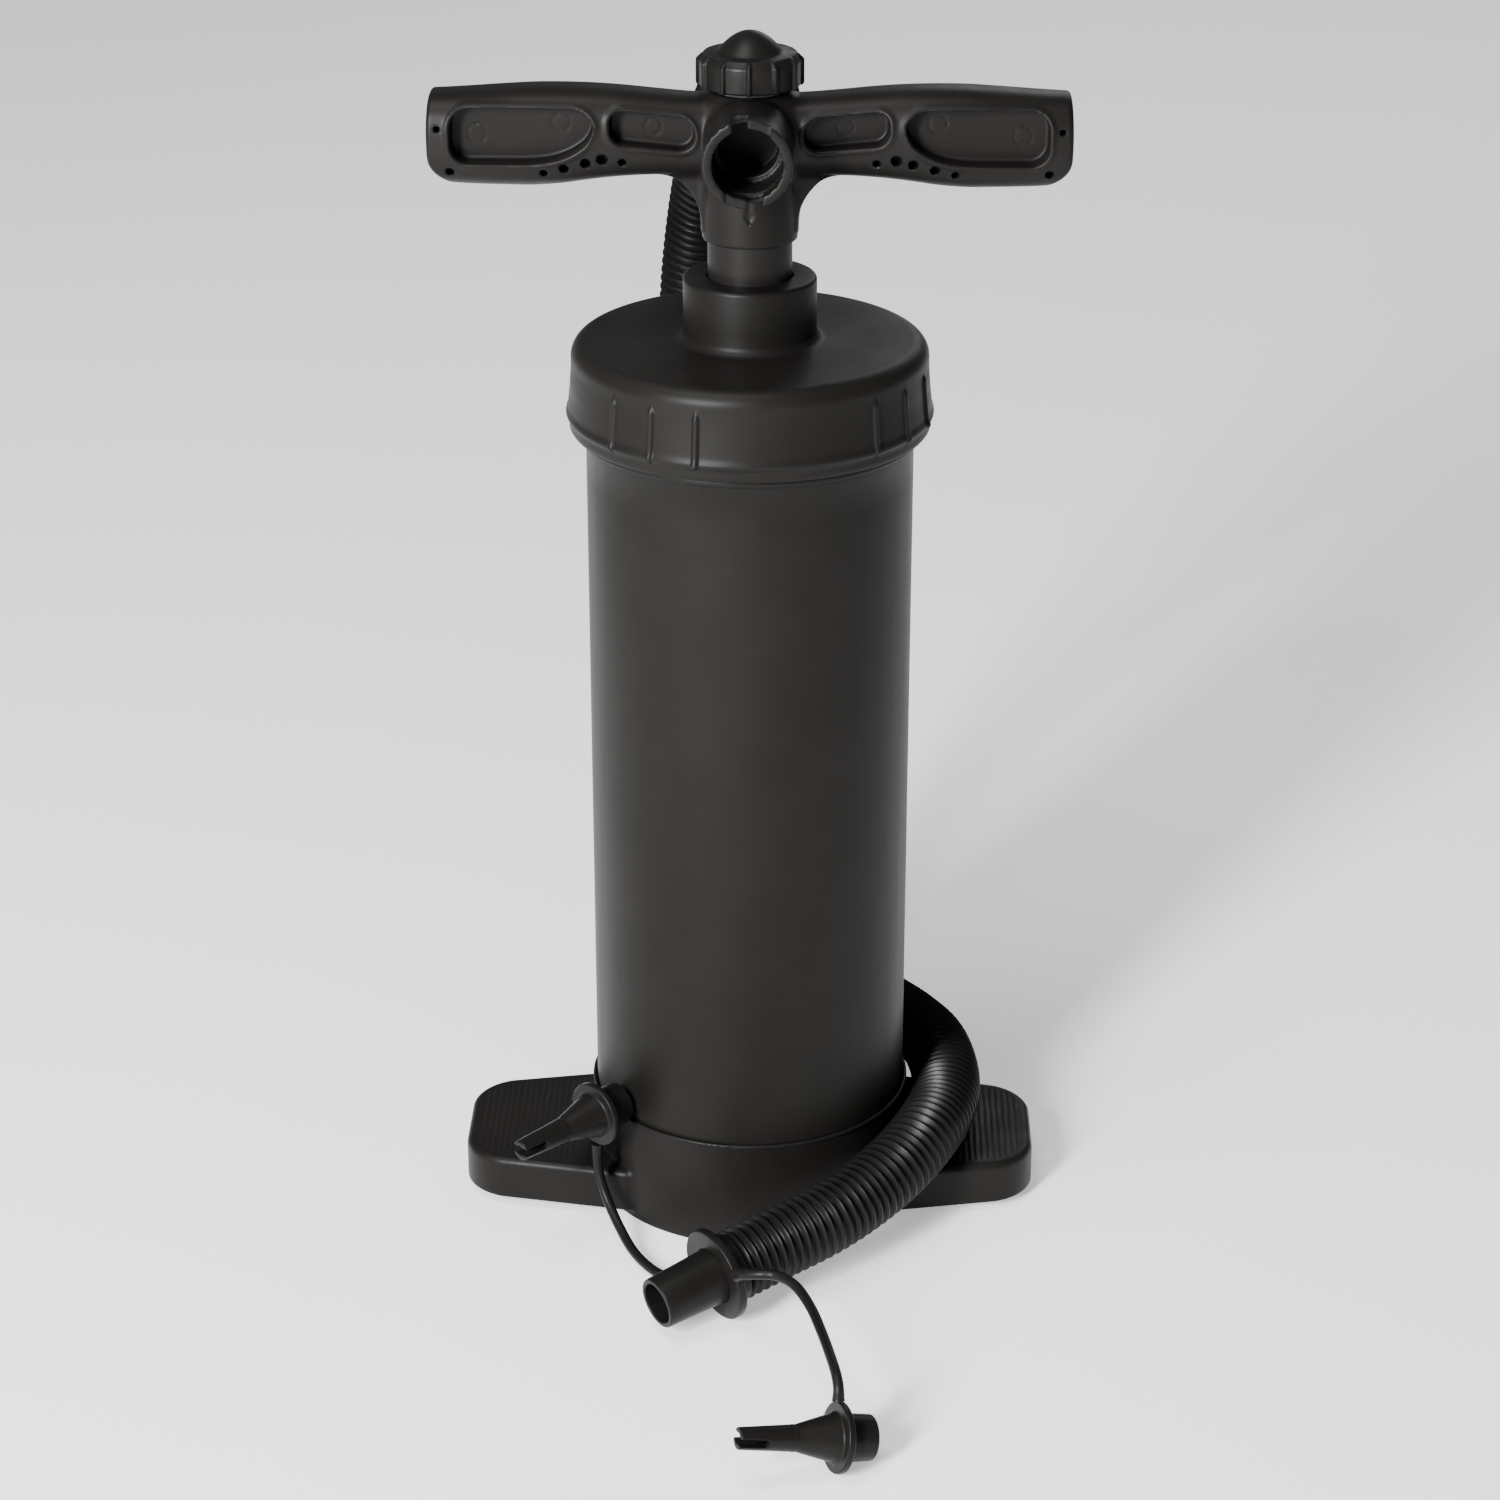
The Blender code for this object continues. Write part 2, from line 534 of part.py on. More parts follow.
def build_handle():
    half = [grip_ring(*section) for section in GRIP_SECTIONS]
    left = [[(-x, y, z) for x, y, z in section] for section in half[:0:-1]]
    handle = loft("handle_body", left + half, "black_plastic")
    top = HEAD_TOP_Z + 0.6
    neck = turned("neck_blank", [(0, top), (14.0, top), (15.0, top - 1.4), (17.0, top - 7), (NECK_R, top - 16),
                                 (NECK_R, NECK_BOTTOM_Z + 0.8), (NECK_R - 0.8, NECK_BOTTOM_Z), (0, NECK_BOTTOM_Z)],
                  ROUND, closed=False)
    port = rods("port_blank", PORT_R, [((0, -PORT_FACE_Y, PORT_Z), (0, PORT_FACE_Y, PORT_Z))], ROUND)
    web = [(-48, -8), (48, -8), *arc((42, -36), 24.5, 98, 180, 4), *arc((-42, -36), 24.5, 0, 82, 4)]
    stand = Matrix.Translation((0, 0, PORT_Z * MM)) @ Matrix.Rotation(math.pi / 2, 4, "X")
    join(handle, neck, port, slab("grip_web", web, -5.5, 5.5, placement=stand))
    cut(handle, *pockets("long_pocket", 57.0, 110.5, -9.0, 11.0, 7.0))
    cut(handle, *pockets("short_pocket", 21.0, 51.0, -5.2, 9.6, 6.0))
    cut(handle, rods("rod_socket", ROD_R + GAP, [((0, 0, 390), (0, 0, ROD_TOP_Z + 0.4))], ROUND),
        rods("annulus_duct", ROD_BORE_R, [((0, 0, ROD_TOP_Z), (0, 0, 428))], SMALL + 2),
        rods("inner_socket", INNER_R + GAP, [((0, 0, 425), (0, 0, INNER_TOP_Z + GAP))], SMALL),
        rods("inner_duct", INNER_BORE_R, [((0, 0, INNER_TOP_Z), (0, 0, 437))], SMALL - 2),
        blocks("intake_link", [((-6, -15.2, ROD_TOP_Z + 1), (6, -11.0, 436))]),
        rods("relief_hole", 6.0, [((0, 0, 446), (0, 0, 470))], SMALL),
        rods("gasket_seat", 14.6, [((0, 0, HEAD_TOP_Z), (0, 0, 470))], ROUND))
    cut(handle, *port_cutters(-1), *port_cutters(1))
    return handle


def build_knob(plunger):
    lift = joint_frame("knob_lift_axis", (0, 0, KNOB_Z[0]), plunger)
    gasket = ring("knob_gasket", 6.4, 13.4, HEAD_TOP_Z + GAP, KNOB_Z[0] - GAP, ROUND, "rubber")
    hang(lift, gasket)
    spin = joint_frame("knob_turn_axis", (0, 0, KNOB_Z[0]), lift)
    low, high = KNOB_Z
    spigot_r, spigot_top = 4.0, 466.0
    knob = turned("relief_knob", [(0, high), (17.6, high), (KNOB_R, high - 2.2), (KNOB_R, low + 0.8),
                                  (KNOB_R - 0.8, low), (spigot_r + GAP, low), (spigot_r + GAP, spigot_top),
                                  (0, spigot_top)], 36, "black_plastic", closed=False)
    rise, dome_r = KNOB_DOME_TOP_Z - high, 12.4
    dome = [(dome_r * k / 5, high + rise * (1 - (k / 5) ** 2)) for k in range(6)]
    dome = turned("knob_dome", [*dome, (dome_r, high - 1.0), (0, high - 1.0)], SMALL, closed=False)
    join(knob, dome)
    flutes = []
    for k in range(KNOB_FLUTES):
        a = math.tau * (k + 0.5) / KNOB_FLUTES
        x, y = 24.9 * math.cos(a), 24.9 * math.sin(a)
        flutes.append(((x, y, low - 3), (x, y, high + 3)))
    cut(knob, rods("knob_flutes", 6.0, flutes, 12))
    spindle = turned("knob_spindle", [(0, spigot_top - GAP), (spigot_r, spigot_top - GAP), (spigot_r, low - GAP),
                                      (5.6, low - GAP), (5.6, 449.6), (5.0, 449.0), (0, 449.0)],
                     SMALL, "white_plastic", closed=False)
    hang(spin, knob, spindle)


def build_connector(plunger):
    """Bayonet plug of the hose in the rear port; its profile's height is measured along +Y."""
    twist = joint_frame("connector_twist_axis", (0, PORT_FACE_Y, PORT_Z), plunger)
    out = along((0, 0, PORT_Z), (0, 1, PORT_Z))
    plug_r, bore_r, groove_r = 12.6, 8.8, 10.9
    end = HOSE_START_Y - GAP
    profile = [(bore_r, end), (14.4, end), (15.2, end - 0.8), (15.2, 53.0), (17.6, 53.0), (18.2, 52.4), (18.2, 47.9),
               (17.6, 47.3), (plug_r, 47.3), (plug_r, 36.2), (groove_r, 36.2), (groove_r, 32.8), (plug_r, 32.8),
               (plug_r - 0.6, 31.0), (bore_r, 31.0)]
    connector = turned("hose_connector", profile, ROUND, "black_plastic", out)
    lugs = []
    for side in (-1, 1):
        zs = sorted((side * 11.0, side * 14.1))
        lugs.append(blocks(f"lug_{side}", [((-2.6, 39.2, zs[0]), (2.6, 43.2, zs[1]))],
                           turn=Matrix.Translation((0, 0, PORT_Z * MM)) @ Matrix.Rotation(math.radians(70), 4, "Y")))
    join(connector, *lugs)
    o_ring = ring("connector_o_ring", groove_r + GAP, 12.7, 33.2, 35.8, ROUND, "rubber", out)
    hang(twist, connector, o_ring)


# ---------------------------------------------------------------- hose end, adapters and tethers
def build_nozzle():
    axis = along(NOZZLE_FLANGE, NOZZLE_TIP)
    tip = (Vector(NOZZLE_TIP) - Vector(NOZZLE_FLANGE)).length
    bore, root = 7.4, 11.2
    turned("hose_nozzle", [(bore, tip), (9.2, tip), (9.9, tip - 0.8), (root, 3.0), (root, -1.8 - GAP),
                           (13.4, -1.8 - GAP), (14.0, -2.8), (14.0, -6.9), (bore, -6.9)], ROUND, "black_plastic", axis)
    ring("tether_ring", root + GAP, RING_R, -1.8, 1.8, ROUND, "black_plastic", axis, chamfer=0.5)


def build_adapter(number, plug_end, tip):
    axis = along(plug_end, tip)
    profile = [(2.0, ADAPTER_L), (3.5, ADAPTER_L), (3.9, ADAPTER_L - 0.5), (4.9, 33.0), (5.3, 32.0), (9.2, 17.0),
               (9.5, 14.4), (12.7, 14.4), (13.2, 13.9), (13.2, 12.1), (12.7, 11.6), (9.3, 11.6), (9.1, 1.0),
               (8.4, 0.0), (2.0, 0.0)]
    adapter = turned(f"adapter_{number}", profile, SMALL, "black_plastic", axis)
    cut(adapter, blocks(f"adapter_fork_{number}", [((-8, -1.5, ADAPTER_L - 11), (8, 1.5, ADAPTER_L + 3))], turn=axis))


def build_hose_set():
    tube("hose", HOSE_ROUTE, HOSE_D, 3, 22.0, "hose_plastic")
    build_nozzle()
    for number, (plug_end, tip) in enumerate(ADAPTERS, 1):
        build_adapter(number, plug_end, tip)
    for number, route in enumerate(TETHER_ROUTES, 1):
        tube(f"tether_{number}", route, TETHER_D, 2, 8.0, "black_plastic")


def shade():
    """Swap each mesh for its evaluated shape, smooth except at real edges."""
    depsgraph = bpy.context.evaluated_depsgraph_get()
    pieces = [p for p in PARTS.objects if p.type == "MESH"]
    shapes = [bpy.data.meshes.new_from_object(p.evaluated_get(depsgraph)) for p in pieces]
    for piece, shape in zip(pieces, shapes):
        piece.modifiers.clear()
        piece.data = shape
        shape.shade_smooth()
        shape.set_sharp_from_angle(angle=math.radians(32))


build_base()
build_barrel()
build_cap()
PLUNGER = joint_frame("plunger_axis", (0, 0, PORT_Z))
hang(PLUNGER, *build_rod(), *build_piston(), build_handle())
build_flaps(PLUNGER)
build_knob(PLUNGER)
build_connector(PLUNGER)
build_hose_set()
shade()
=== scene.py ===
"""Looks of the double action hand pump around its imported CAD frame.

Lengths are in millimetres and angles in degrees until a mesh is made, which is where they become
metres and radians. Detailed pieces come from three makers: lathe() turns a profile, sweep() runs a
round section along a path, and skin() wraps the zero surface of a distance field, which gives moulded
fillets.
"""
import json
import math

import bpy
import numpy as np
from mathutils import Matrix, Vector


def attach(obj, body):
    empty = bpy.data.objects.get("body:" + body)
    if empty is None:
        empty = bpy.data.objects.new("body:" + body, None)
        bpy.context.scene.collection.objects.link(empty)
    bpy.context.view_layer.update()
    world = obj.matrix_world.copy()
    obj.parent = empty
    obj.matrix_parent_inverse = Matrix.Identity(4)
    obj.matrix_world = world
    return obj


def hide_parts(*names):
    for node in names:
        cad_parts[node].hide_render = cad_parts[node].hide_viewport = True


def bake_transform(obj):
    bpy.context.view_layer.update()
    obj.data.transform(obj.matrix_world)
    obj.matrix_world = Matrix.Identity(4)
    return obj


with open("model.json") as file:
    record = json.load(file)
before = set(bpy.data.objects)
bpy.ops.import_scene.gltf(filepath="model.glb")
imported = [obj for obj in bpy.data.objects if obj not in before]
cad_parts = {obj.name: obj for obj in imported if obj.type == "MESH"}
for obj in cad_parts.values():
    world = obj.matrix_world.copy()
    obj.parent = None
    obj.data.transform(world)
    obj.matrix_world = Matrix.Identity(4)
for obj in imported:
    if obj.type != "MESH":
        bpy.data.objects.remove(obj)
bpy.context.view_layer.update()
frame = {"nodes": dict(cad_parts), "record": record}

MM = 0.001


# ---------------------------------------------------------------- camera
# aim and distance in metres, angles in degrees, lens in millimetres
AIM = Vector((0.0, 0.0, 0.1905))
CAMERA_AZIMUTH, CAMERA_PITCH, CAMERA_DISTANCE, CAMERA_LENS = 1.2, 24.02, 1.4931, 89.87


def make_camera():
    azimuth, pitch = math.radians(CAMERA_AZIMUTH), math.radians(CAMERA_PITCH)
    level = math.cos(pitch)
    back = Vector((math.sin(azimuth) * level, -math.cos(azimuth) * level, math.sin(pitch)))
    data = bpy.data.cameras.new("camera")
    data.lens = CAMERA_LENS
    data.sensor_width = 36.0
    camera = bpy.data.objects.new("camera", data)
    bpy.context.scene.collection.objects.link(camera)
    camera.location = AIM + back * CAMERA_DISTANCE
    camera.rotation_euler = back.to_track_quat("Z", "Y").to_euler()
    bpy.context.scene.camera = camera


make_camera()


# ---------------------------------------------------------------- meshes
SHARP_ANGLE = 38


def piece(name, points, faces, material, placement=None):
    """Smooth-shaded mesh object from points in millimetres."""
    points = np.asarray(points, float) * MM
    faces = np.asarray(faces, np.int32)
    corners = faces.shape[1]
    mesh = bpy.data.meshes.new(name)
    mesh.vertices.add(len(points))
    mesh.vertices.foreach_set("co", points.ravel())
    mesh.loops.add(faces.size)
    mesh.loops.foreach_set("vertex_index", faces.ravel())
    mesh.polygons.add(len(faces))
    mesh.polygons.foreach_set("loop_start", np.arange(0, faces.size, corners, dtype=np.int32))
    mesh.update(calc_edges=True)
    mesh.validate()
    if placement is not None:
        mesh.transform(placement)
    mesh.shade_smooth()
    mesh.set_sharp_from_angle(angle=math.radians(SHARP_ANGLE))
    made = bpy.data.objects.new(name, mesh)
    bpy.context.scene.collection.objects.link(made)
    mesh.materials.append(material)
    return made


def grid_faces(rows, columns, closed_rows):
    """Quads over a rows by columns grid whose columns wrap round, and whose rows may."""
    row_count = rows if closed_rows else rows - 1
    r, c = np.meshgrid(np.arange(row_count), np.arange(columns), indexing="ij")
    below, right = (r + 1) % rows, (c + 1) % columns
    corners = [r * columns + c, r * columns + right, below * columns + right, below * columns + c]
    return np.stack(corners, axis=-1).reshape(-1, 4)


def along(start, end):
    """Placement in metres whose Z axis runs from start towards end."""
    start, end = Vector(start) * MM, Vector(end) * MM
    return Matrix.Translation(start) @ (end - start).to_track_quat("Z", "Y").to_matrix().to_4x4()


def arc(centre, radius, start, end, steps=6):
    """Points of a profile along an arc, with its angles in degrees."""
    angles = np.radians(np.linspace(start, end, steps + 1))
    return [(centre[0] + radius * math.cos(a), centre[1] + radius * math.sin(a)) for a in angles]


def fine(profile, longest):
    """The closed profile with its long sides divided."""
    dense = []
    for (r0, z0), (r1, z1) in zip(profile, profile[1:] + profile[:1]):
        count = max(1, math.ceil(math.hypot(r1 - r0, z1 - z0) / longest))
        dense += [(r0 + (r1 - r0) * k / count, z0 + (z1 - z0) * k / count) for k in range(count)]
    return dense


def lathe(name, profile, material, sides=128, placement=None, swell=None):
    """Ring turned from a closed profile that runs down its outer side; swell(angle, z, r) moves radii."""
    r, z = np.array(profile, float).T
    angle = np.linspace(0, math.tau, sides, endpoint=False)[None, :]
    radius = np.broadcast_to(r[:, None], (len(r), sides))
    height = np.broadcast_to(z[:, None], (len(r), sides))
    if swell:
        radius = radius + swell(angle, height, radius)
    points = np.stack([radius * np.cos(angle), radius * np.sin(angle), height], axis=-1).reshape(-1, 3)
    return piece(name, points, grid_faces(len(r), sides, True)[:, ::-1], material, placement)


def smooth_path(route, spacing):
    """Points about spacing apart on a Catmull-Rom curve through the route."""
    points = [Vector(p) for p in route]
    points = [points[0] * 2 - points[1], *points, points[-1] * 2 - points[-2]]
    dense, steps = [], 40
    for a, b, c, d in zip(points, points[1:], points[2:], points[3:]):
        for k in range(steps):
            t = k / steps
            dense.append(0.5 * (2 * b + (c - a) * t + (2 * a - 5 * b + 4 * c - d) * t * t
                                + (3 * b - a - 3 * c + d) * t ** 3))
    dense.append(points[-2])
    dense = np.array(dense)
    travelled = np.concatenate([[0], np.cumsum(np.linalg.norm(np.diff(dense, axis=0), axis=1))])
    places = np.linspace(0, travelled[-1], max(2, round(travelled[-1] / spacing)) + 1)
    return np.stack([np.interp(places, travelled, dense[:, k]) for k in range(3)], axis=1)


def sweep(name, path, radius, material, sides=32):
    """Tube along a path; radius(distance, total) gives its section, and both ends are closed."""
    tangents = np.gradient(path, axis=0)
    tangents /= np.linalg.norm(tangents, axis=1)[:, None]
    side = np.cross(tangents[0], (0.3, 0.2, 1.0))
    sides_at = []
    for tangent in tangents:
        side = side - tangent * side.dot(tangent)
        side = side / np.linalg.norm(side)
        sides_at.append(side)
    across = np.array(sides_at)
    other = np.cross(tangents, across)
    travelled = np.concatenate([[0], np.cumsum(np.linalg.norm(np.diff(path, axis=0), axis=1))])
    radii = radius(travelled, travelled[-1])
    angle = np.linspace(0, math.tau, sides, endpoint=False)[None, :, None]
    around = across[:, None, :] * np.cos(angle) + other[:, None, :] * np.sin(angle)
    points = path[:, None, :] + around * radii[:, None, None]
    # each end closes on a small ring, so every face stays a quad
    closing = 0.02
    first = path[0] + around[0] * radii[0] * closing
    last = path[-1] + around[-1] * radii[-1] * closing
    points = np.concatenate([first, points.reshape(-1, 3), last])
    return piece(name, points, grid_faces(len(path) + 2, sides, False), material)


def skin(name, field, low, high, step, material, placement=None):
    """Surface net round the inside (negative part) of a distance field, drawn onto its zero."""
    axes = [np.arange(a - 1.5 * step, b + 2.5 * step, step) for a, b in zip(low, high)]
    grid = np.meshgrid(*axes, indexing="ij", sparse=True)
    value = np.asarray(field(*grid), np.float32)
    inside = value < 0
    cells = tuple(n - 1 for n in value.shape)
    count = np.zeros(cells, np.int8)
    offsets = [(i, j, k) for i in (0, 1) for j in (0, 1) for k in (0, 1)]
    for i, j, k in offsets:
        count += inside[i:cells[0] + i, j:cells[1] + j, k:cells[2] + k]
    active = np.argwhere((count > 0) & (count < 8))
    number = np.full(cells, -1, np.int32)
    number[tuple(active.T)] = np.arange(len(active))
    total, hits = np.zeros((len(active), 3)), np.zeros(len(active))
    for axis in range(3):
        others = [o for o in offsets if o[axis] == 0]
        for offset in others:
            a = active + offset
            b = a.copy()
            b[:, axis] += 1
            fa, fb = value[tuple(a.T)].astype(float), value[tuple(b.T)].astype(float)
            crossed = (fa < 0) != (fb < 0)
            t = np.where(crossed, fa / np.where(crossed, fa - fb, 1.0), 0.0)
            place = np.array(offset, float) + t[:, None] * np.eye(3)[axis]
            total += np.where(crossed[:, None], place, 0.0)
            hits += crossed
    points = np.array([a[0] for a in axes]) + (active + total / hits[:, None]) * step
    faces = []
    for axis in range(3):
        u, v = (axis + 1) % 3, (axis + 2) % 3
        lead = [slice(None)] * 3
        lag = [slice(None)] * 3
        lead[axis], lag[axis] = slice(1, None), slice(None, -1)
        changes = inside[tuple(lead)] != inside[tuple(lag)]
        edges = np.argwhere(changes)
        edges = edges[(edges[:, u] > 0) & (edges[:, v] > 0)]
        du, dv = np.eye(3, dtype=int)[u], np.eye(3, dtype=int)[v]
        winding = ((1, 1), (0, 1), (0, 0), (1, 0))
        quad = np.stack([number[tuple((edges - a * du - b * dv).T)] for a, b in winding], axis=1)
        outward = inside[tuple(edges.T)]
        faces += [quad[outward], quad[~outward][:, ::-1]]
    for _ in range(2):
        points = onto_surface(field, points, step)
    return piece(name, points, np.concatenate(faces), material, placement)


def onto_surface(field, points, step):
    """One Newton step of each point along the field's gradient, kept shorter than half a grid step."""
    nudge, flattest = 0.05, 0.05
    here = field(*points.T)
    slope = np.stack([(field(*(points + nudge * axis).T) - field(*(points - nudge * axis).T)) / (2 * nudge)
                      for axis in np.eye(3)], axis=1)
    steep = np.maximum((slope ** 2).sum(axis=1), flattest)
    move = -np.clip(here / steep, -0.5 * step, 0.5 * step)[:, None] * slope
    return points + move


# ---------------------------------------------------------------- distance fields
def meet(a, b, radius=0.0):
    """Intersection of two fields with its outer edge rounded."""
    if not radius:
        return np.maximum(a, b)
    a, b = a + radius, b + radius
    return np.hypot(np.maximum(a, 0), np.maximum(b, 0)) - radius + np.minimum(np.maximum(a, b), 0)


def merge(a, b, fillet=0.0):
    """Union of two fields with its inner edge filled."""
    return -meet(-a, -b, fillet)


def carve(a, b, edge=0.0):
    """The first field less the second, with the edge between them rounded."""
    return meet(a, -b, edge)


def between(value, low, high):
    """Distance outside a slab of one coordinate."""
    return np.abs(value - (low + high) / 2) - (high - low) / 2


def rod(u, v, w, radius, low, high, edge=0.0):
    """Cylinder along w between low and high."""
    return meet(np.hypot(u, v) - radius, between(w, low, high), edge)


def brick(x, y, z, low, high, edge=0.0):
    """Box between two opposite corners."""
    wall = meet(between(x, low[0], high[0]), between(y, low[1], high[1]), edge)
    return meet(wall, between(z, low[2], high[2]), edge)


def spline_table(places, values):
    """Smooth function through the values, as a dense table for np.interp."""
    places, values = np.array(places, float), np.array(values, float)
    slopes = np.gradient(values, places)
    dense = np.linspace(places[0], places[-1], 400)
    k = np.clip(np.searchsorted(places, dense) - 1, 0, len(places) - 2)
    h = places[k + 1] - places[k]
    t = (dense - places[k]) / h
    table = ((2 * t ** 3 - 3 * t ** 2 + 1) * values[k] + (t ** 3 - 2 * t ** 2 + t) * h * slopes[k]
             + (3 * t ** 2 - 2 * t ** 3) * values[k + 1] + (t ** 3 - t ** 2) * h * slopes[k + 1])
    return dense, table


# ---------------------------------------------------------------- materials
class Shade:
    """A Principled material with helpers to wire its procedural detail."""

    def __init__(self, name, roughness, metallic=0.0, specular=0.5):
        self.material = bpy.data.materials.new(name)
        self.material.use_nodes = True
        self.tree = self.material.node_tree
        self.shader = self.tree.nodes["Principled BSDF"]
        self.shader.inputs["Metallic"].default_value = metallic
        self.shader.inputs["Roughness"].default_value = roughness
        self.shader.inputs["Specular IOR Level"].default_value = specular
        self.place = self.node("ShaderNodeTexCoord").outputs["Object"]

    def node(self, kind, **settings):
        made = self.tree.nodes.new(kind)
        for key, value in settings.items():
            setattr(made, key, value)
        return made

    def link(self, source, target):
        self.tree.links.new(source, target)

    def stretched(self, scale):
        mapping = self.node("ShaderNodeMapping")
        mapping.inputs["Scale"].default_value = scale
        self.link(self.place, mapping.inputs["Vector"])
        return mapping.outputs["Vector"]

    def noise(self, scale, detail=4.0, rough=0.55, stretch=None):
        made = self.node("ShaderNodeTexNoise")
        made.inputs["Scale"].default_value = scale
        made.inputs["Detail"].default_value = detail
        made.inputs["Roughness"].default_value = rough
        self.link(self.stretched(stretch) if stretch else self.place, made.inputs["Vector"])
        return made.outputs["Fac"]

    def ramp(self, source, stops):
        made = self.node("ShaderNodeValToRGB")
        elements = made.color_ramp.elements
        while len(elements) < len(stops):
            elements.new(0.5)
        for element, (place, colour) in zip(elements, stops):
            element.position = place
            element.color = (*colour, 1.0) if len(colour) == 3 else colour
        self.link(source, made.inputs["Fac"])
        return made.outputs["Color"]

    def span(self, source, low, high, to_low, to_high):
        made = self.node("ShaderNodeMapRange")
        for key, value in (("From Min", low), ("From Max", high), ("To Min", to_low), ("To Max", to_high)):
            made.inputs[key].default_value = value
        self.link(source, made.inputs["Value"])
        return made.outputs["Result"]

    def blend(self, factor, a, b):
        # a colour mix has its factor on socket 0, its colours on 6 and 7, and its result on 2
        made = self.node("ShaderNodeMix", data_type="RGBA")
        self.link(factor, made.inputs[0])
        self.link(a, made.inputs[6])
        self.link(b, made.inputs[7])
        return made.outputs[2]

    def bump(self, height, strength, distance, under=None):
        made = self.node("ShaderNodeBump")
        made.inputs["Strength"].default_value = strength
        made.inputs["Distance"].default_value = distance
        self.link(height, made.inputs["Height"])
        if under is not None:
            self.link(under, made.inputs["Normal"])
        return made.outputs["Normal"]

    def wear(self, colour, roughness, normal=None):
        self.link(colour, self.shader.inputs["Base Color"])
        self.link(roughness, self.shader.inputs["Roughness"])
        if normal is not None:
            self.link(normal, self.shader.inputs["Normal"])
        return self.material


def moulded(name, dark, light, rough=(0.36, 0.5), grain=0.12, streak=(1.0, 1.0, 1.0), scuffs=0.3,
            specular=0.11):
    """Satin moulded plastic: soft tone drift, fine grain, flow streaks and faint pale scuffs."""
    shade = Shade(name, sum(rough) / 2, specular=specular)
    drift = shade.noise(26.0, 3.0)
    tone = shade.ramp(drift, [(0.3, dark), (0.72, light)])
    lines = shade.noise(60.0, 6.0, 0.65, streak)
    marks = shade.span(shade.noise(310.0, 3.0, 0.7, (1.0, 0.35, 1.0)), 0.66, 0.8, 0.0, scuffs)
    pale = shade.ramp(drift, [(0.0, tuple(c * 2.0 + 0.003 for c in light)),
                              (1.0, tuple(c * 2.4 + 0.004 for c in light))])
    colour = shade.blend(marks, tone, pale)
    roughness = shade.span(lines, 0.3, 0.7, *rough)
    fine_grain = shade.bump(shade.noise(2200.0, 2.0, 0.6), grain, 0.00012)
    wavy = shade.bump(lines, 0.1, 0.0006, fine_grain)
    return shade.wear(colour, roughness, wavy)


def speckled(name, dark, light, rough, grain_scale, grain_strength, metallic=0.0):
    """Rubber, raw plastic or plated steel: mottled tone over an even grain."""
    shade = Shade(name, sum(rough) / 2, metallic)
    mottle = shade.noise(90.0, 5.0, 0.6)
    roughness = shade.span(shade.noise(240.0, 4.0), 0.3, 0.7, *rough)
    grain = shade.bump(shade.noise(grain_scale, 3.0, 0.6), grain_strength, 0.00015)
    return shade.wear(shade.ramp(mottle, [(0.32, dark), (0.7, light)]), roughness, grain)


BLACK = moulded("black_polypropylene", (0.0049, 0.0044, 0.0040), (0.0075, 0.0068, 0.0062))
BARREL_BLACK = moulded("barrel_polypropylene", (0.0049, 0.0045, 0.0040), (0.0070, 0.0064, 0.0059),
                       streak=(1.0, 1.0, 0.06), rough=(0.38, 0.47))
CAP_BLACK = moulded("cap_polypropylene", (0.0051, 0.0047, 0.0043), (0.0075, 0.0069, 0.0063),
                    streak=(0.25, 0.25, 2.4), rough=(0.36, 0.5))
ROD_BLACK = moulded("rod_plastic", (0.0065, 0.0060, 0.0056), (0.0104, 0.0096, 0.0088),
                    streak=(1.0, 1.0, 0.04), rough=(0.3, 0.48), scuffs=0.5)
HOSE_BLACK = moulded("hose_polyethylene", (0.0039, 0.0036, 0.0034), (0.0059, 0.0054, 0.0050),
                     rough=(0.3, 0.42), grain=0.05)
SMALL_BLACK = moulded("fitting_plastic", (0.0047, 0.0044, 0.0040), (0.0068, 0.0063, 0.0058),
                      rough=(0.32, 0.44), grain=0.06)
WHITE = speckled("natural_polypropylene", (0.56, 0.56, 0.52), (0.66, 0.655, 0.62), (0.38, 0.52), 1500.0, 0.08)
RUBBER = speckled("nitrile_rubber", (0.014, 0.014, 0.014), (0.026, 0.025, 0.025), (0.65, 0.85), 1300.0, 0.25)
STEEL = speckled("zinc_plated_steel", (0.5, 0.5, 0.5), (0.62, 0.62, 0.64), (0.24, 0.4), 1900.0, 0.12,
                 metallic=1.0)
SLOT_MATERIALS = {"black_plastic": BLACK, "hose_plastic": HOSE_BLACK, "white_plastic": WHITE,
                  "rubber": RUBBER, "steel": STEEL}


def dress_cad():
    """Give every CAD node the procedural material of its slot."""
    for row in frame["record"]["subparts"]:
        node = frame["nodes"][row["node"]]
        for slot in node.material_slots:
            slot.material = SLOT_MATERIALS[row["material_slot"]]


dress_cad()


def stand_for(made, node, body):
    """The made piece rides on its body in place of a CAD node."""
    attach(made, body)
    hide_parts(node)
    return made


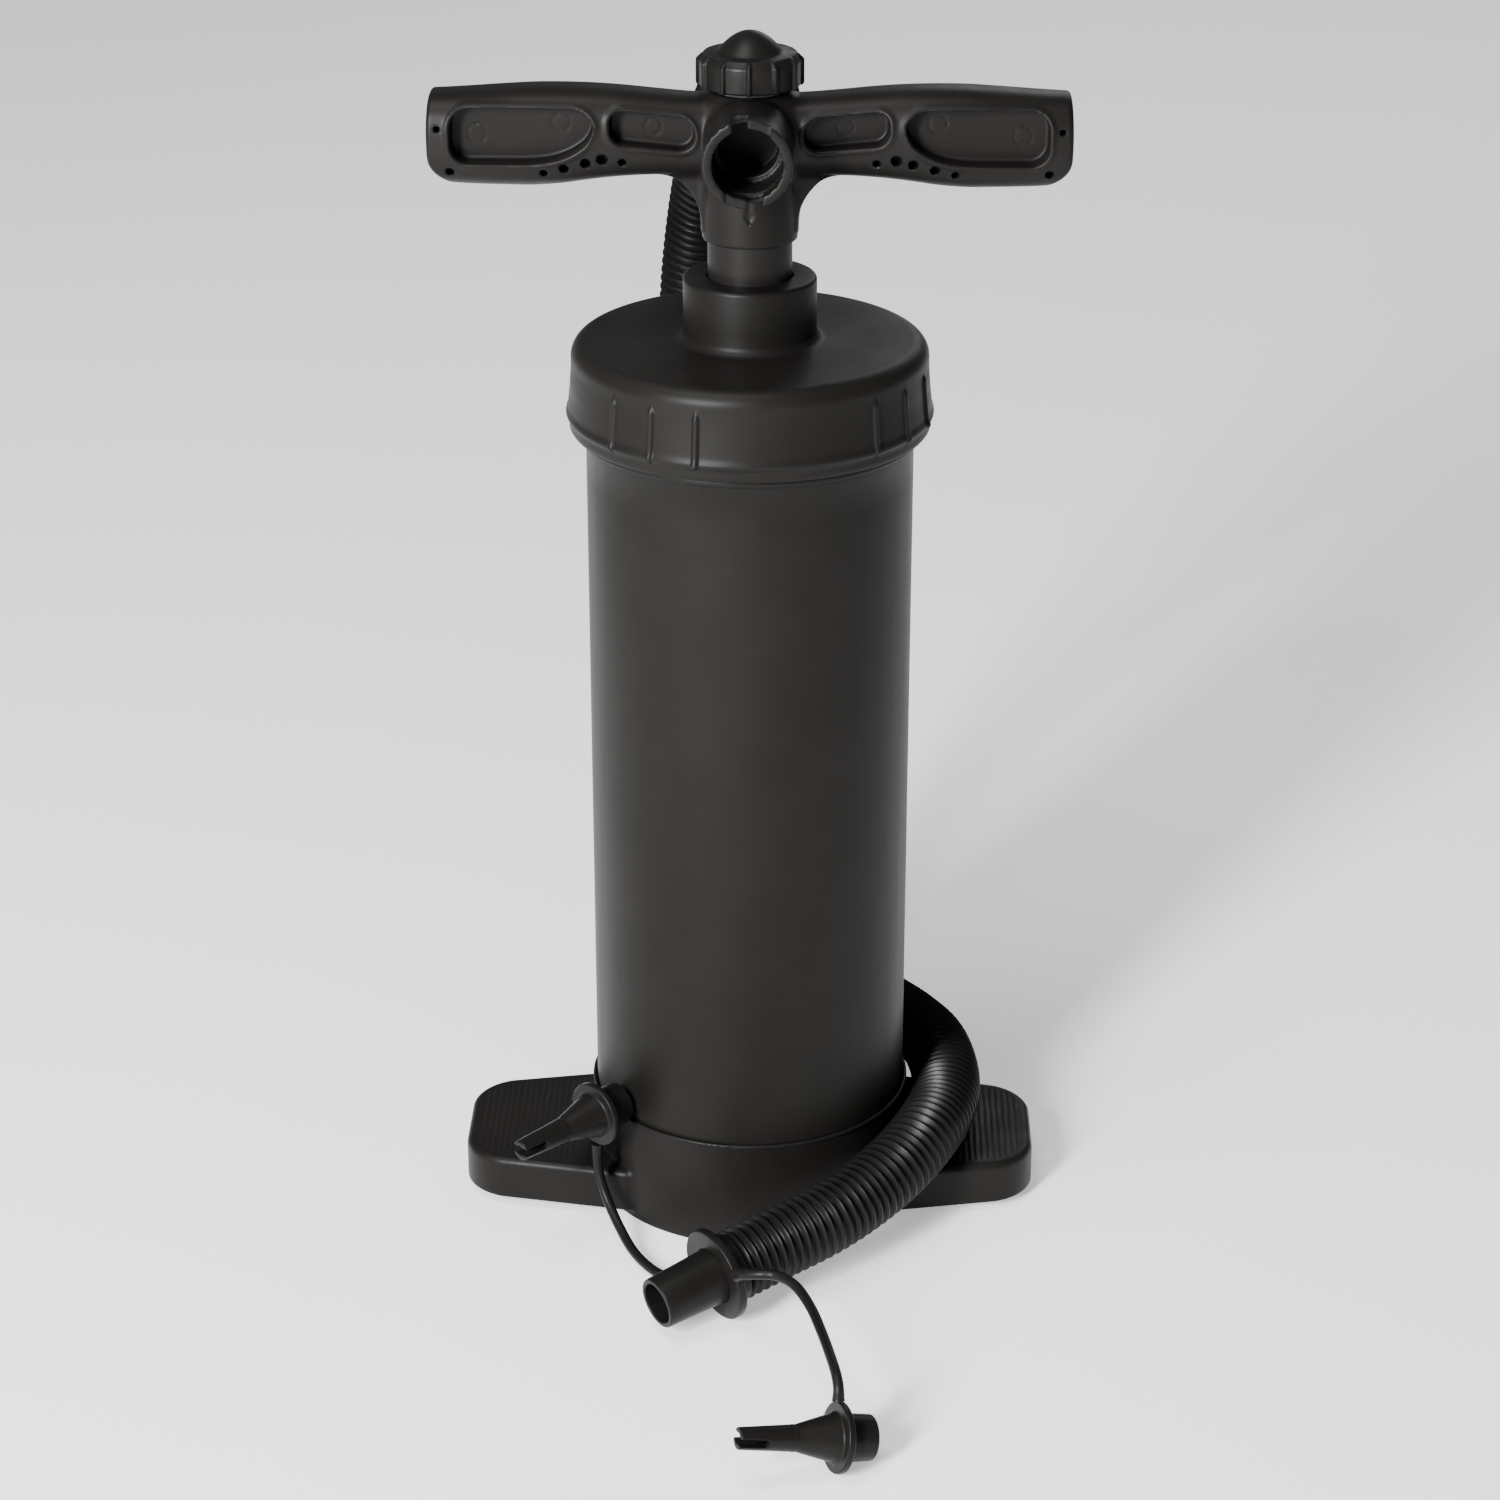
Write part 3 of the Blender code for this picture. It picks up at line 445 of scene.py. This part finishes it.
# ---------------------------------------------------------------- hose, nozzle, adapters and tethers
HOSE_R, HOSE_VALLEY_R, HOSE_PITCH = 14.3, 12.1, 3.8
HOSE_ROUTE = (
    (0, 62.3, 441.6), (0, 73.3, 441.6), (0, 84.3, 441.6), (-4.5, 110, 436), (-11, 136, 421),
    (-17.8, 158, 397), (-23.8, 173, 365), (-28, 181, 328), (-29, 184.5, 290), (-28, 187, 250),
    (-25, 190, 210), (-20, 193, 170), (-12.5, 193, 130), (-2, 187, 91), (11, 173, 58), (26, 151, 34),
    (41, 124, 25.5), (55, 95, 28), (68, 66, 33.4), (77.5, 40, 36.6), (81.5, 12, 36.6), (79, -14, 36.6),
    (71, -38, 36.4), (59.5, -56.5, 32.5), (45, -72.5, 28), (30, -86.3, 25), (13.0, -99.1, 22.72),
    (4.15, -105.46, 21.3), (-4.7, -111.83, 19.88),
)
NOZZLE_FLANGE, NOZZLE_TIP = (-10.5, -116.0, 18.95), (-33.3, -132.4, 15.3)
TETHER_R = 2.0
TETHER_ROUTES = (
    ((-19.15, -101.9, 9.55), (-24, -97.5, 6.2), (-31.2, -93.6, 3.4), (-38.6, -86.2, 3.3), (-45.5, -75.5, 4.4),
     (-51.5, -64, 8.5), (-56.3, -55.5, 15), (-59.6, -51.2, 23.5), (-60.6, -49.5, 31), (-60.6, -49.3, 38.1)),
    ((-1.6, -130.3, 27.8), (0.7, -134.1, 30.1), (6.2, -136.6, 31.8), (13, -138.2, 32.2), (20.2, -145.5, 32.5),
     (26.2, -161, 32.8), (30.5, -179, 33.2), (33.6, -195, 33.8), (35.6, -205.5, 33.4), (36.66, -211.1, 30.75),
     (36.7, -212.95, 26.1)),
)
ADAPTER_L = 53.0
# each adapter's plug end and tip
ADAPTERS = (((-51.65, -40.4, 52.3), (-89.4, -77.6, 50.7)), ((48.65, -213.4, 10.6), (0.3, -231.8, 22.05)))


def corrugated(travelled, total):
    """Rounded ribs, a little narrower than the valleys between them."""
    phase = travelled / total * round(total / HOSE_PITCH) * math.tau
    rib = (0.5 - 0.5 * np.cos(phase)) ** 1.15
    return HOSE_VALLEY_R + (HOSE_R - HOSE_VALLEY_R) * rib


def make_hose():
    path = smooth_path(HOSE_ROUTE, HOSE_PITCH / 8)
    hose = sweep("corrugated_hose", path, corrugated, HOSE_BLACK, 36)
    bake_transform(hose)
    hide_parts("hose")
    return hose, path


def make_nozzle():
    axis = along(NOZZLE_FLANGE, NOZZLE_TIP)
    tip = math.dist(NOZZLE_FLANGE, NOZZLE_TIP)
    bore, mouth, root, flange_edge, rear = 7.4, 8.2, 11.2, 13.4, -6.9
    profile = [(mouth, tip - 0.4), (mouth + 0.4, tip), *arc((9.5, tip - 0.7), 0.7, 90, 5), (root - 0.1, 3.6),
               (root, 2.6), (root, -2.1), (flange_edge, -2.1), *arc((flange_edge, -2.8), 0.6, 90, 0, 3),
               (flange_edge + 0.6, rear), (bore, rear), (bore, tip - 9.0), (mouth, tip - 8.0)]
    nozzle = lathe("nozzle_shell", profile, SMALL_BLACK, 96, axis)
    stand_for(nozzle, "hose_nozzle", "root")
    outer, half = 18.65, 1.8
    profile = [(root + 0.3, half), *arc((outer - 0.7, half - 0.7), 0.7, 90, 0, 4),
               *arc((outer - 0.7, 0.7 - half), 0.7, 0, -90, 4), (root + 0.3, -half)]
    collar = lathe("tether_collar", profile, SMALL_BLACK, 96, axis)
    stand_for(collar, "tether_ring", "root")
    return nozzle, collar


def adapter_field(x, y, z):
    """Push-in adapter along +Z: plug, flange, cone, step and a forked slim tip, bored right through."""
    r = np.hypot(x, y)
    plug = meet(r - (8.5 + 0.045 * z), np.abs(z - 6.5) - 6.5, 0.8)
    flange = meet(r - 13.2, np.abs(z - 13.0) - 1.4, 0.7)
    cone = meet((r - (9.5 - 0.275 * (z - 14.0))) * 0.96, np.abs(z - 22.5) - 9.5, 0.6)
    tip = meet((r - (5.0 - 0.04 * (z - 31.0))) * 0.99, np.abs(z - 42.0) - 11.0, 0.6)
    body = merge(merge(merge(plug, flange, 0.5), cone, 0.8), tip, 0.8)
    bore_r, socket_r, socket_depth, fork_half_width, fork_low = 2.1, 6.6, 9.0, 1.55, 42.0
    body = carve(body, meet(r - bore_r, np.abs(z - 30) - 40), 0.3)
    body = carve(body, meet(r - socket_r, z - socket_depth), 0.5)
    return carve(body, meet(meet(np.abs(y) - fork_half_width, fork_low - z, 1.0), np.abs(x) - 9), 0.4)


def make_adapter(number, plug_end, tip):
    name = f"valve_adapter_{number}"
    low, high, step = (-14, -14, 0), (14, 14, ADAPTER_L), 0.36
    adapter = skin(name, adapter_field, low, high, step, SMALL_BLACK, along(plug_end, tip))
    return stand_for(adapter, f"adapter_{number}", "root")


def tapered(travelled, total):
    """Thicker where the strap leaves the nozzle's collar and where it meets the adapter."""
    root = np.exp(-travelled / 3.5) * 1.2
    far = np.exp(-(total - travelled) / 2.5) * 0.5
    return TETHER_R + root + far


def make_tether(number, route, adapter):
    path = smooth_path(route, 0.8)
    tether = sweep(f"tether_strap_{number}", path, tapered, SMALL_BLACK, 20)
    stand_for(tether, f"tether_{number}", "root")
    return tether, path


def make_hose_set():
    hose, hose_path = make_hose()
    nozzle, collar = make_nozzle()
    for number, (route, ends) in enumerate(zip(TETHER_ROUTES, ADAPTERS), 1):
        adapter = make_adapter(number, *ends)
        tether, path = make_tether(number, route, adapter)


make_hose_set()


# ---------------------------------------------------------------- base
BASE_FLOOR_Z, SEAM_Z, COLLAR_R, PEDAL_TOP_Z, PEDAL_BOTTOM_Z = 16.0, 45.4, 63.7, 21.6, 3.7
PEDAL_HALF_X, PEDAL_TIP_Y, PEDAL_ROOT = 116.8, 31.2, (50.0, 44.0)
GROOVE_PITCH, GROOVE_DEPTH = 2.5, 0.2
BARREL_SOCKET_R, HOLLOW_R, HOLLOW_TOP_Z, FLOOR_RIB_AT = 61.7, 59.2, 12.0, 19.7
# near and far x and half width of the hollows under each pedal
PEDAL_HOLLOWS = ((67, 80, 34.5), (83, 96, 31.5), (99, 110.5, 26.0))


def pedal_plan(x, y):
    """Distance outside the outline of both pedals, with their rounded far corners."""
    corner = 17.0
    run, drop = PEDAL_HALF_X - PEDAL_ROOT[0], PEDAL_ROOT[1] - PEDAL_TIP_Y
    slant = math.hypot(run, drop)
    side = ((np.abs(x) - PEDAL_ROOT[0]) * drop + (np.abs(y) - PEDAL_ROOT[1]) * run) / slant
    return meet(np.maximum(side, np.abs(y) - PEDAL_ROOT[1]), np.abs(x) - PEDAL_HALF_X, corner)


def base_field(x, y, z):
    """Collar and both pedals, grooved on top and ribbed underneath."""
    plan, r = pedal_plan(x, y), np.hypot(x, y)
    tread = np.clip((-plan - 4.0) / 1.5, 0, 1) * np.clip((r - 66.5) / 1.5, 0, 1)
    wave = np.cos((x + 0.12 * np.sin(y * 0.21 + x * 0.6)) * math.tau / GROOVE_PITCH)
    top = z - PEDAL_TOP_Z + GROOVE_DEPTH * tread * (0.5 + 0.5 * wave)
    pedals = meet(meet(plan, top, 3.0), PEDAL_BOTTOM_Z - z, 0.6)
    collar = meet(r - COLLAR_R, np.abs(z - SEAM_Z / 2) - SEAM_Z / 2, 0.6)
    bead = np.hypot(r - COLLAR_R - 0.35, z - SEAM_Z - 0.1) - 0.8
    body = merge(merge(pedals, collar, 1.6), bead, 0.4)
    body = carve(body, meet(r - BARREL_SOCKET_R, BASE_FLOOR_Z - z))
    hollow = meet(r - HOLLOW_R, z - HOLLOW_TOP_Z, 1.0)
    ax, ay = np.abs(x), np.abs(y)
    ribs = meet(np.minimum(np.abs(ax - FLOOR_RIB_AT), np.abs(ay - FLOOR_RIB_AT)) - 1.2, 1.5 - z)
    body = carve(body, carve(hollow, ribs, 0.5), 0.4)
    roof = PEDAL_TOP_Z - 3.0
    for near, far, half_width in PEDAL_HOLLOWS:
        body = carve(body, brick(ax, ay, z, (near, 1.5, -10), (far, half_width, roof), 0.8), 0.3)
    return body


def make_base():
    base = skin("base_and_pedals", base_field, (-117.5, -65.6, 0), (117.5, 65.6, 47.4), 0.62, BLACK)
    stand_for(base, "base_foot", "root")


make_base()


# ---------------------------------------------------------------- barrel and cap
BARREL_R, BORE_R, BARREL_TOP_Z, BARREL_FOOT_R, BARREL_FOOT_Z = 63.0, 59.5, 352.0, 61.4, 18.6


def make_barrel():
    """Blow-moulded barrel: screw rings, flange, a step under it, and a spigot in the base."""
    flange, flange_low, flange_high, thread_r = 66.2, 325.0, 327.5, 65.0
    bottom = SEAM_Z + 0.3
    profile = [(BORE_R, BARREL_TOP_Z), (BARREL_R - 0.6, BARREL_TOP_Z), (BARREL_R, BARREL_TOP_Z - 0.6)]
    for z in (345.5, 337.5):
        profile += [(BARREL_R, z + 1.6), (thread_r, z + 0.6), (thread_r, z - 0.6), (BARREL_R, z - 1.6)]
    profile += [(BARREL_R, flange_high), *arc((flange - 0.6, flange_high - 0.6), 0.6, 90, 0, 3),
                *arc((flange - 0.9, flange_low + 0.9), 0.9, 0, -80, 3), (63.8, 324.7), (63.35, 323.6),
                (63.3, 321.3), (BARREL_R, 320.7), (BARREL_R, bottom + 0.25), (BARREL_R - 0.25, bottom),
                (BARREL_FOOT_R, bottom), (BARREL_FOOT_R, BARREL_FOOT_Z), (BORE_R, BARREL_FOOT_Z)]
    barrel = lathe("barrel_shell", fine(profile, 12.0), BARREL_BLACK, 192)
    stand_for(barrel, "barrel_tube", "root")


CAP_TOP_Z, CAP_LIP_Z, CAP_R, BOSS_R, BOSS_TOP_Z = 362.5, 328.2, 68.3, 25.4, 387.0
RIB_GROUPS, RIB_STEP = (59.0, 149.0, 239.0, 329.0), 15.3
RIB_HALF_WIDTH, RIB_HEIGHT, RIB_LOW_Z, RIB_HIGH_Z, RIBBED_R = 1.25, 1.0, 334.0, 352.0, 66.5


def cap_ribs(angle, z, r):
    """Groups of three round-ended grip ribs on the cap's outer wall."""
    rise = np.zeros(np.broadcast_shapes(angle.shape, z.shape))
    past_end = np.maximum(np.maximum(z - RIB_HIGH_Z, RIB_LOW_Z - z), 0)
    for group in RIB_GROUPS:
        for k in (-1, 0, 1):
            apart = (angle - math.radians(group + k * RIB_STEP) + math.pi) % math.tau - math.pi
            off = np.hypot(apart * CAP_R, past_end) / RIB_HALF_WIDTH
            rise = np.maximum(rise, np.sqrt(np.clip(1 - off ** 2.4, 0, 1)))
    return np.where(r > RIBBED_R, RIB_HEIGHT * rise, 0.0)


def make_cap():
    """Screw cap: boss, rounded shoulder, a wall that flares down to a bead, and a narrower lip."""
    edge_r, fillet, skirt, thread_r, lip_r = 6.5, 3.5, 66.0, 64.0, 69.2
    roof_z, boss_floor_z, boss_bore, rod_bore = 359.0, 383.2, 21.1, 16.6
    flare, flare_top_z, flare_height = 1.35, 354.0, 17.0
    profile = [(rod_bore, BOSS_TOP_Z), *arc((BOSS_R - 1.6, BOSS_TOP_Z - 1.6), 1.6, 90, 0, 5), (BOSS_R, 372.0),
               *arc((BOSS_R + fillet, CAP_TOP_Z + fillet), fillet, 180, 270, 7), (45.0, CAP_TOP_Z),
               *arc((CAP_R - edge_r, CAP_TOP_Z - edge_r), edge_r, 90, 0, 12)]
    profile += [(CAP_R + flare * ((flare_top_z - z) / flare_height) ** 1.4, z)
                for z in np.arange(flare_top_z, flare_top_z - flare_height - 0.5, -1.0)]
    profile += [(69.95, 336.0), (70.35, 335.1), (70.5, 334.1), (70.2, 333.4), (69.6, 332.9), (69.3, 332.3),
                (lip_r, 330.6), (lip_r, 328.9), (lip_r - 0.5, CAP_LIP_Z), (skirt, CAP_LIP_Z)]
    for z in (333.5, 341.5):
        profile += [(skirt, z - 1.4), (thread_r, z - 0.5), (thread_r, z + 0.5), (skirt, z + 1.4)]
    profile += [(skirt, 355.0), (57.0, 355.0), (57.0, roof_z), (boss_bore, roof_z), (boss_bore, boss_floor_z),
                (rod_bore, boss_floor_z)]
    cap = lathe("screw_cap", profile, CAP_BLACK, 1080, swell=cap_ribs)
    stand_for(cap, "top_cap", "root")


make_barrel()
make_cap()


# ---------------------------------------------------------------- rod, handle and knob
ROD_R, ROD_BORE_R, ROD_TOP_Z, ROD_BOTTOM_Z = 16.0, 13.0, 423.0, 47.3


def make_rod():
    profile = [(ROD_BORE_R, ROD_TOP_Z), (ROD_R - 0.5, ROD_TOP_Z), (ROD_R, ROD_TOP_Z - 0.5),
               (ROD_R, ROD_BOTTOM_Z + 0.5), (ROD_R - 0.5, ROD_BOTTOM_Z), (ROD_BORE_R, ROD_BOTTOM_Z)]
    rod_tube = lathe("piston_rod_tube", fine(profile, 20.0), ROD_BLACK, 96)
    stand_for(rod_tube, "rod_outer_tube", "plunger")


PORT_Z, PORT_R, PORT_BORE_R, PORT_FACE_Y = 441.6, 16.5, 11.0, 47.0
NECK_R, NECK_BOTTOM_Z, NECK_TOP_Z, HEAD_TOP_Z = 18.0, 401.7, 458.3, 457.6
GRIP_X = (0.0, 22.0, 34.0, 48.0, 60.0, 70.0, 80.0, 92.0, 108.0, 119.4)
GRIP_HALF_HEIGHT = spline_table(GRIP_X, (15.0, 15.1, 15.5, 16.5, 17.5, 18.3, 18.6, 18.2, 17.4, 16.6))
GRIP_HALF_DEPTH = spline_table(GRIP_X, (13.0, 13.2, 13.6, 14.4, 15.0, 15.4, 15.6, 15.6, 15.2, 14.6))
GRIP_LIFT = spline_table(GRIP_X, (-0.5, -0.2, 0.4, 0.7, 0.4, -0.2, -0.6, -0.9, -1.2, -1.0))
POCKET_FLOOR_Y = 6.6
# x, height and radius of the ejector marks on the pocket floors, and of the small holes beside the pockets
EJECTOR_MARKS = ((69.5, 5.4, 3.4), (101.0, 1.0, 3.4), (35.5, 4.0, 3.0))
DIMPLES = ((47.0, -8.2, 1.5), (54.3, -6.9, 2.1), (60.5, -8.4, 1.9), (68.5, -10.5, 1.8), (76.0, -12.3, 1.4),
           (115.2, 4.2, 1.2), (110.8, -12.0, 1.6))


def grip_field(ax, y, h):
    """Grip of a rounded section that thickens outwards, with a crowned end cut back below."""
    half_height = np.interp(ax, *GRIP_HALF_HEIGHT)
    half_depth = np.interp(ax, *GRIP_HALF_DEPTH)
    rise = h - np.interp(ax, *GRIP_LIFT)
    power = 2.7
    level = ((np.abs(y) / half_depth) ** power + (np.abs(rise) / half_height) ** power) ** (1 / power)
    crown = 0.8 * (1 - (rise / 18.0) ** 2)
    end = ax - 118.6 - np.clip(crown, 0, 1) + 7.5 * np.clip((-rise - 5.0) / 12.0, 0, 1) ** 2.4
    return meet((level - 1) * half_depth * 0.96, end, 1.6)


def pocket_plan(ax, h):
    """Distance outside the outlines of a grip's two pockets, in the plane of its front."""
    # the long pocket's lower edge climbs towards the handle's middle, and the short pocket leans inwards
    climb = np.clip((91.0 - ax) / 34.0, 0, 1)
    slope = 11.0 * 3.6 / 34.0 * climb ** 2.6
    below = (-8.7 + 11.0 * climb ** 3.6 - h) / np.sqrt(1 + slope ** 2)
    above = h - 11.8 + 0.0006 * (ax - 84.0) ** 2
    long_pocket = meet(meet(meet(above, 57.2 - ax, 8.5), below, 4.0), ax - 110.5, 7.0)
    lean = h - 2.3 - 0.1 * (ax - 24.0)
    short_pocket = meet(meet(np.abs(lean) - 6.2, 20.2 - ax, 6.2), ax - 51.5, 5.0)
    return np.minimum(long_pocket, short_pocket)


def handle_outside(x, y, z):
    """Grips with their pockets, neck, webs under the grips and the tube of both ports, all in one."""
    ax, ay, h = np.abs(x), np.abs(y), z - PORT_Z
    plan = pocket_plan(ax, h)
    grip = grip_field(ax, y, h)
    # a lip stands round each pocket
    grip = grip - 0.5 * np.exp(-((plan - 1.1) / 1.0) ** 2) * (ay > 6)
    grip = carve(grip, meet(plan, POCKET_FLOOR_Y - ay, 1.2), 0.6)
    shoulder = 13.8 + 0.42 * (HEAD_TOP_Z + 2 - z)
    neck = meet(np.hypot(x, y) - np.minimum(NECK_R, shoulder), between(z, NECK_BOTTOM_Z, NECK_TOP_Z), 0.7)
    port = rod(x, h, y, PORT_R, -PORT_FACE_Y, PORT_FACE_Y, 0.6)
    web = np.maximum(24.5 - np.hypot(ax - 42.0, h + 36.0), ax - 44.0)
    web = np.maximum(web, np.maximum(-36.0 - h, h + 5.0))
    web = meet(web, ay - 5.6, 1.0)
    return merge(merge(merge(grip, neck, 3.5), web, 2.2), port, 1.6)


def with_bores(body, x, y, z):
    """The knob's recess and relief hole, the sockets of both rod tubes, and the air ways of the ports."""
    h = z - PORT_Z
    body = carve(body, rod(x, y, z, 14.6, HEAD_TOP_Z, HEAD_TOP_Z + 20), 0.3)
    body = carve(body, rod(x, y, z, 6.0, 446, 470), 0.3)
    body = carve(body, rod(x, y, z, 16.3, 380, 423.4), 0.4)
    body = carve(body, rod(x, y, z, 13.0, 420, 428))
    body = carve(body, rod(x, y, z, 9.3, 420, 430.3))
    body = carve(body, rod(x, y, z, 7.5, 420, 437))
    body = carve(body, brick(x, y, z, (-6, -15.2, 424), (6, -11.0, 436)))
    body = carve(body, rod(x, h, y, PORT_BORE_R, 6.0, 60.0))
    return carve(body, rod(x, h, y, PORT_BORE_R, -60.0, -11.0))


def with_bayonets(body, x, y, h):
    """Each port's counterbore, groove and two slots half a turn apart, with a shallow ramp beside each."""
    ay, round_port = np.abs(y), np.hypot(x, h)
    # 0 on the outlet's side and 1 on the inlet's, whose counterbore is deeper and whose groove is narrower
    inlet = np.clip(-y / 8.0, 0, 1)
    body = carve(body, meet(round_port - 13.05, 30.0 - 8.0 * inlet - ay), 0.5)
    groove_y, groove_half = 41.25 - 3.0 * inlet, 2.75 - 1.0 * inlet
    body = carve(body, meet(round_port - 14.9, np.abs(ay - groove_y) - groove_half))
    turn = np.where(h < 0, -1.0, 1.0)
    across, past_bore = x * turn, 9.0 - np.abs(h)
    slot_end = meet(np.abs(h) - 15.4 - 4.0 * inlet, 38.0 - ay)
    slot = meet(meet(np.abs(across + 2.8) - 2.9, past_bore), slot_end)
    ramp = meet(meet(np.abs(across - 4.2) - 4.2, past_bore), PORT_FACE_Y - 1.3 - ay)
    return carve(carve(body, slot, 0.25), ramp, 0.25)


def with_marks(body, x, y, h):
    """Ejector marks, small holes, and a generic arrow notch that points down under the intake port."""
    ax, ay = np.abs(x), np.abs(y)
    for place, height, radius in EJECTOR_MARKS:
        ring = np.abs(np.hypot(ax - place, h - height) - radius) - 0.25
        body = carve(body, np.maximum(ring, np.abs(ay - POCKET_FLOOR_Y) - 0.35))
    for place, height, radius in DIMPLES:
        hole = np.hypot(ax - place, h - height) - radius
        body = carve(body, np.maximum(hole, 8.0 - ay), 0.35)
    arrow = np.maximum(ax - 0.42 * (h + 31.0), np.maximum(-31.0 - h, h + 26.3))
    stem = np.maximum(ax - 1.0, np.maximum(-28.0 - h, h + 17.0))
    return carve(body, np.maximum(np.minimum(arrow * 0.9, stem), y + NECK_R - 0.6))


def handle_field(x, y, z):
    body = with_bores(handle_outside(x, y, z), x, y, z)
    return with_marks(with_bayonets(body, x, y, z - PORT_Z), x, y, z - PORT_Z)


def make_handle():
    handle = skin("t_handle", handle_field, (-120.5, -48, 400.5), (120.5, 48, 462), 0.66, BLACK)
    stand_for(handle, "handle_body", "plunger")


KNOB_R, KNOB_LOW_Z, KNOB_HIGH_Z, KNOB_TOP_Z, KNOB_RIDGES = 20.1, 459.9, 471.9, 480.0, 12


def knob_grip(angle, z, r):
    """Wide flats between narrow rounded ridges on the knob's rim."""
    turns = angle * KNOB_RIDGES / math.tau
    apart = np.abs(turns - np.round(turns)) * math.tau * KNOB_R / KNOB_RIDGES
    ridge = np.exp(-(apart / 0.95) ** 4)
    shallow, flats_from = 1.15 * (1 - ridge), 17.4
    return np.where(r > flats_from, -shallow * np.clip((r - flats_from) / 1.5, 0, 1), 0.0)


def make_knob():
    dome_r, rise, recess_r, recess_top = 12.6, KNOB_TOP_Z - KNOB_HIGH_Z, 4.3, 466.0
    dome = [(dome_r * k, KNOB_HIGH_Z + rise * (1 - k * k)) for k in np.linspace(0.03, 0.97, 20)]
    profile = [*dome, (dome_r + 0.5, KNOB_HIGH_Z + 0.1), (17.2, KNOB_HIGH_Z), (18.0, KNOB_HIGH_Z - 0.35),
               (19.5, KNOB_HIGH_Z - 1.7), (20.0, KNOB_HIGH_Z - 2.3), (KNOB_R, KNOB_HIGH_Z - 3.0),
               (KNOB_R, 465.0), (KNOB_R, KNOB_LOW_Z + 0.7), (KNOB_R - 0.6, KNOB_LOW_Z),
               (recess_r, KNOB_LOW_Z), (recess_r, recess_top), (0.4, recess_top), (0.4, KNOB_TOP_Z - 0.05)]
    knob = lathe("relief_knob_shell", profile, SMALL_BLACK, 480, swell=knob_grip)
    stand_for(knob, "relief_knob", "knob")


def make_connector():
    out = along((0, 0, PORT_Z), (0, 1, PORT_Z))
    plug, bore, groove, end, nose, flange = 12.6, 8.8, 10.9, 62.0, 31.0, 17.4
    profile = [(bore, end), (14.4, end), *arc((14.4, end - 0.8), 0.8, 90, 0, 4), (15.2, 53.6), (15.6, 53.0),
               *arc((flange, 52.2), 0.8, 90, 0, 4), *arc((flange, 48.1), 0.8, 0, -90, 4), (plug, 47.3),
               (plug, 36.2), (groove, 36.2), (groove, 32.8), (plug, 32.8), (plug - 0.6, nose), (bore, nose)]
    connector = lathe("hose_bayonet", profile, SMALL_BLACK, 96, out)
    stand_for(connector, "hose_connector", "connector")


make_rod()
make_handle()
make_knob()
make_connector()


# ---------------------------------------------------------------- floor and light
FLOOR_GLOW, FLOOR_HALF, WORLD_STRENGTH = 0.48, 40000.0, 0.22
# name, place, width and height in metres, and power in watts
LIGHTS = (("key", (-0.95, -1.7, 1.0), 0.34, 0.9, 135.0), ("top", (-0.5, -0.5, 2.2), 0.9, 0.9, 28.0),
          ("back", (0.6, 2.2, 1.3), 1.0, 1.0, 6.0))
LIT_POINT = (0, 0, 0.2)


def make_floor():
    """White sweep that glows a little, so it stays near white under a light soft enough for black plastic."""
    shade = Shade("pale_floor", 0.8, specular=0.1)
    tone = shade.ramp(shade.noise(2.0, 2.0), [(0.3, (0.88, 0.88, 0.88)), (0.7, (0.9, 0.9, 0.9))])
    shade.shader.inputs["Emission Color"].default_value = (1.0, 1.0, 1.0, 1.0)
    shade.shader.inputs["Emission Strength"].default_value = FLOOR_GLOW
    material = shade.wear(tone, shade.span(shade.noise(8.0), 0.3, 0.7, 0.75, 0.9))
    corners = [(-FLOOR_HALF, -FLOOR_HALF, 0), (FLOOR_HALF, -FLOOR_HALF, 0), (FLOOR_HALF, FLOOR_HALF, 0),
               (-FLOOR_HALF, FLOOR_HALF, 0)]
    floor = piece("floor", corners, [(0, 1, 2, 3)], material)


def area_light(name, place, width, height, power):
    data = bpy.data.lights.new(name, "AREA")
    data.shape = "RECTANGLE"
    data.size = width
    data.size_y = height
    data.energy = power
    lamp = bpy.data.objects.new(name, data)
    bpy.context.scene.collection.objects.link(lamp)
    lamp.location = place
    lamp.rotation_euler = (Vector(place) - Vector(LIT_POINT)).to_track_quat("Z", "Y").to_euler()


def make_light():
    world = bpy.data.worlds.new("studio")
    world.use_nodes = True
    background = world.node_tree.nodes["Background"]
    background.inputs["Color"].default_value = (1.0, 1.0, 1.0, 1.0)
    background.inputs["Strength"].default_value = WORLD_STRENGTH
    bpy.context.scene.world = world
    for light in LIGHTS:
        area_light(*light)


make_floor()
make_light()
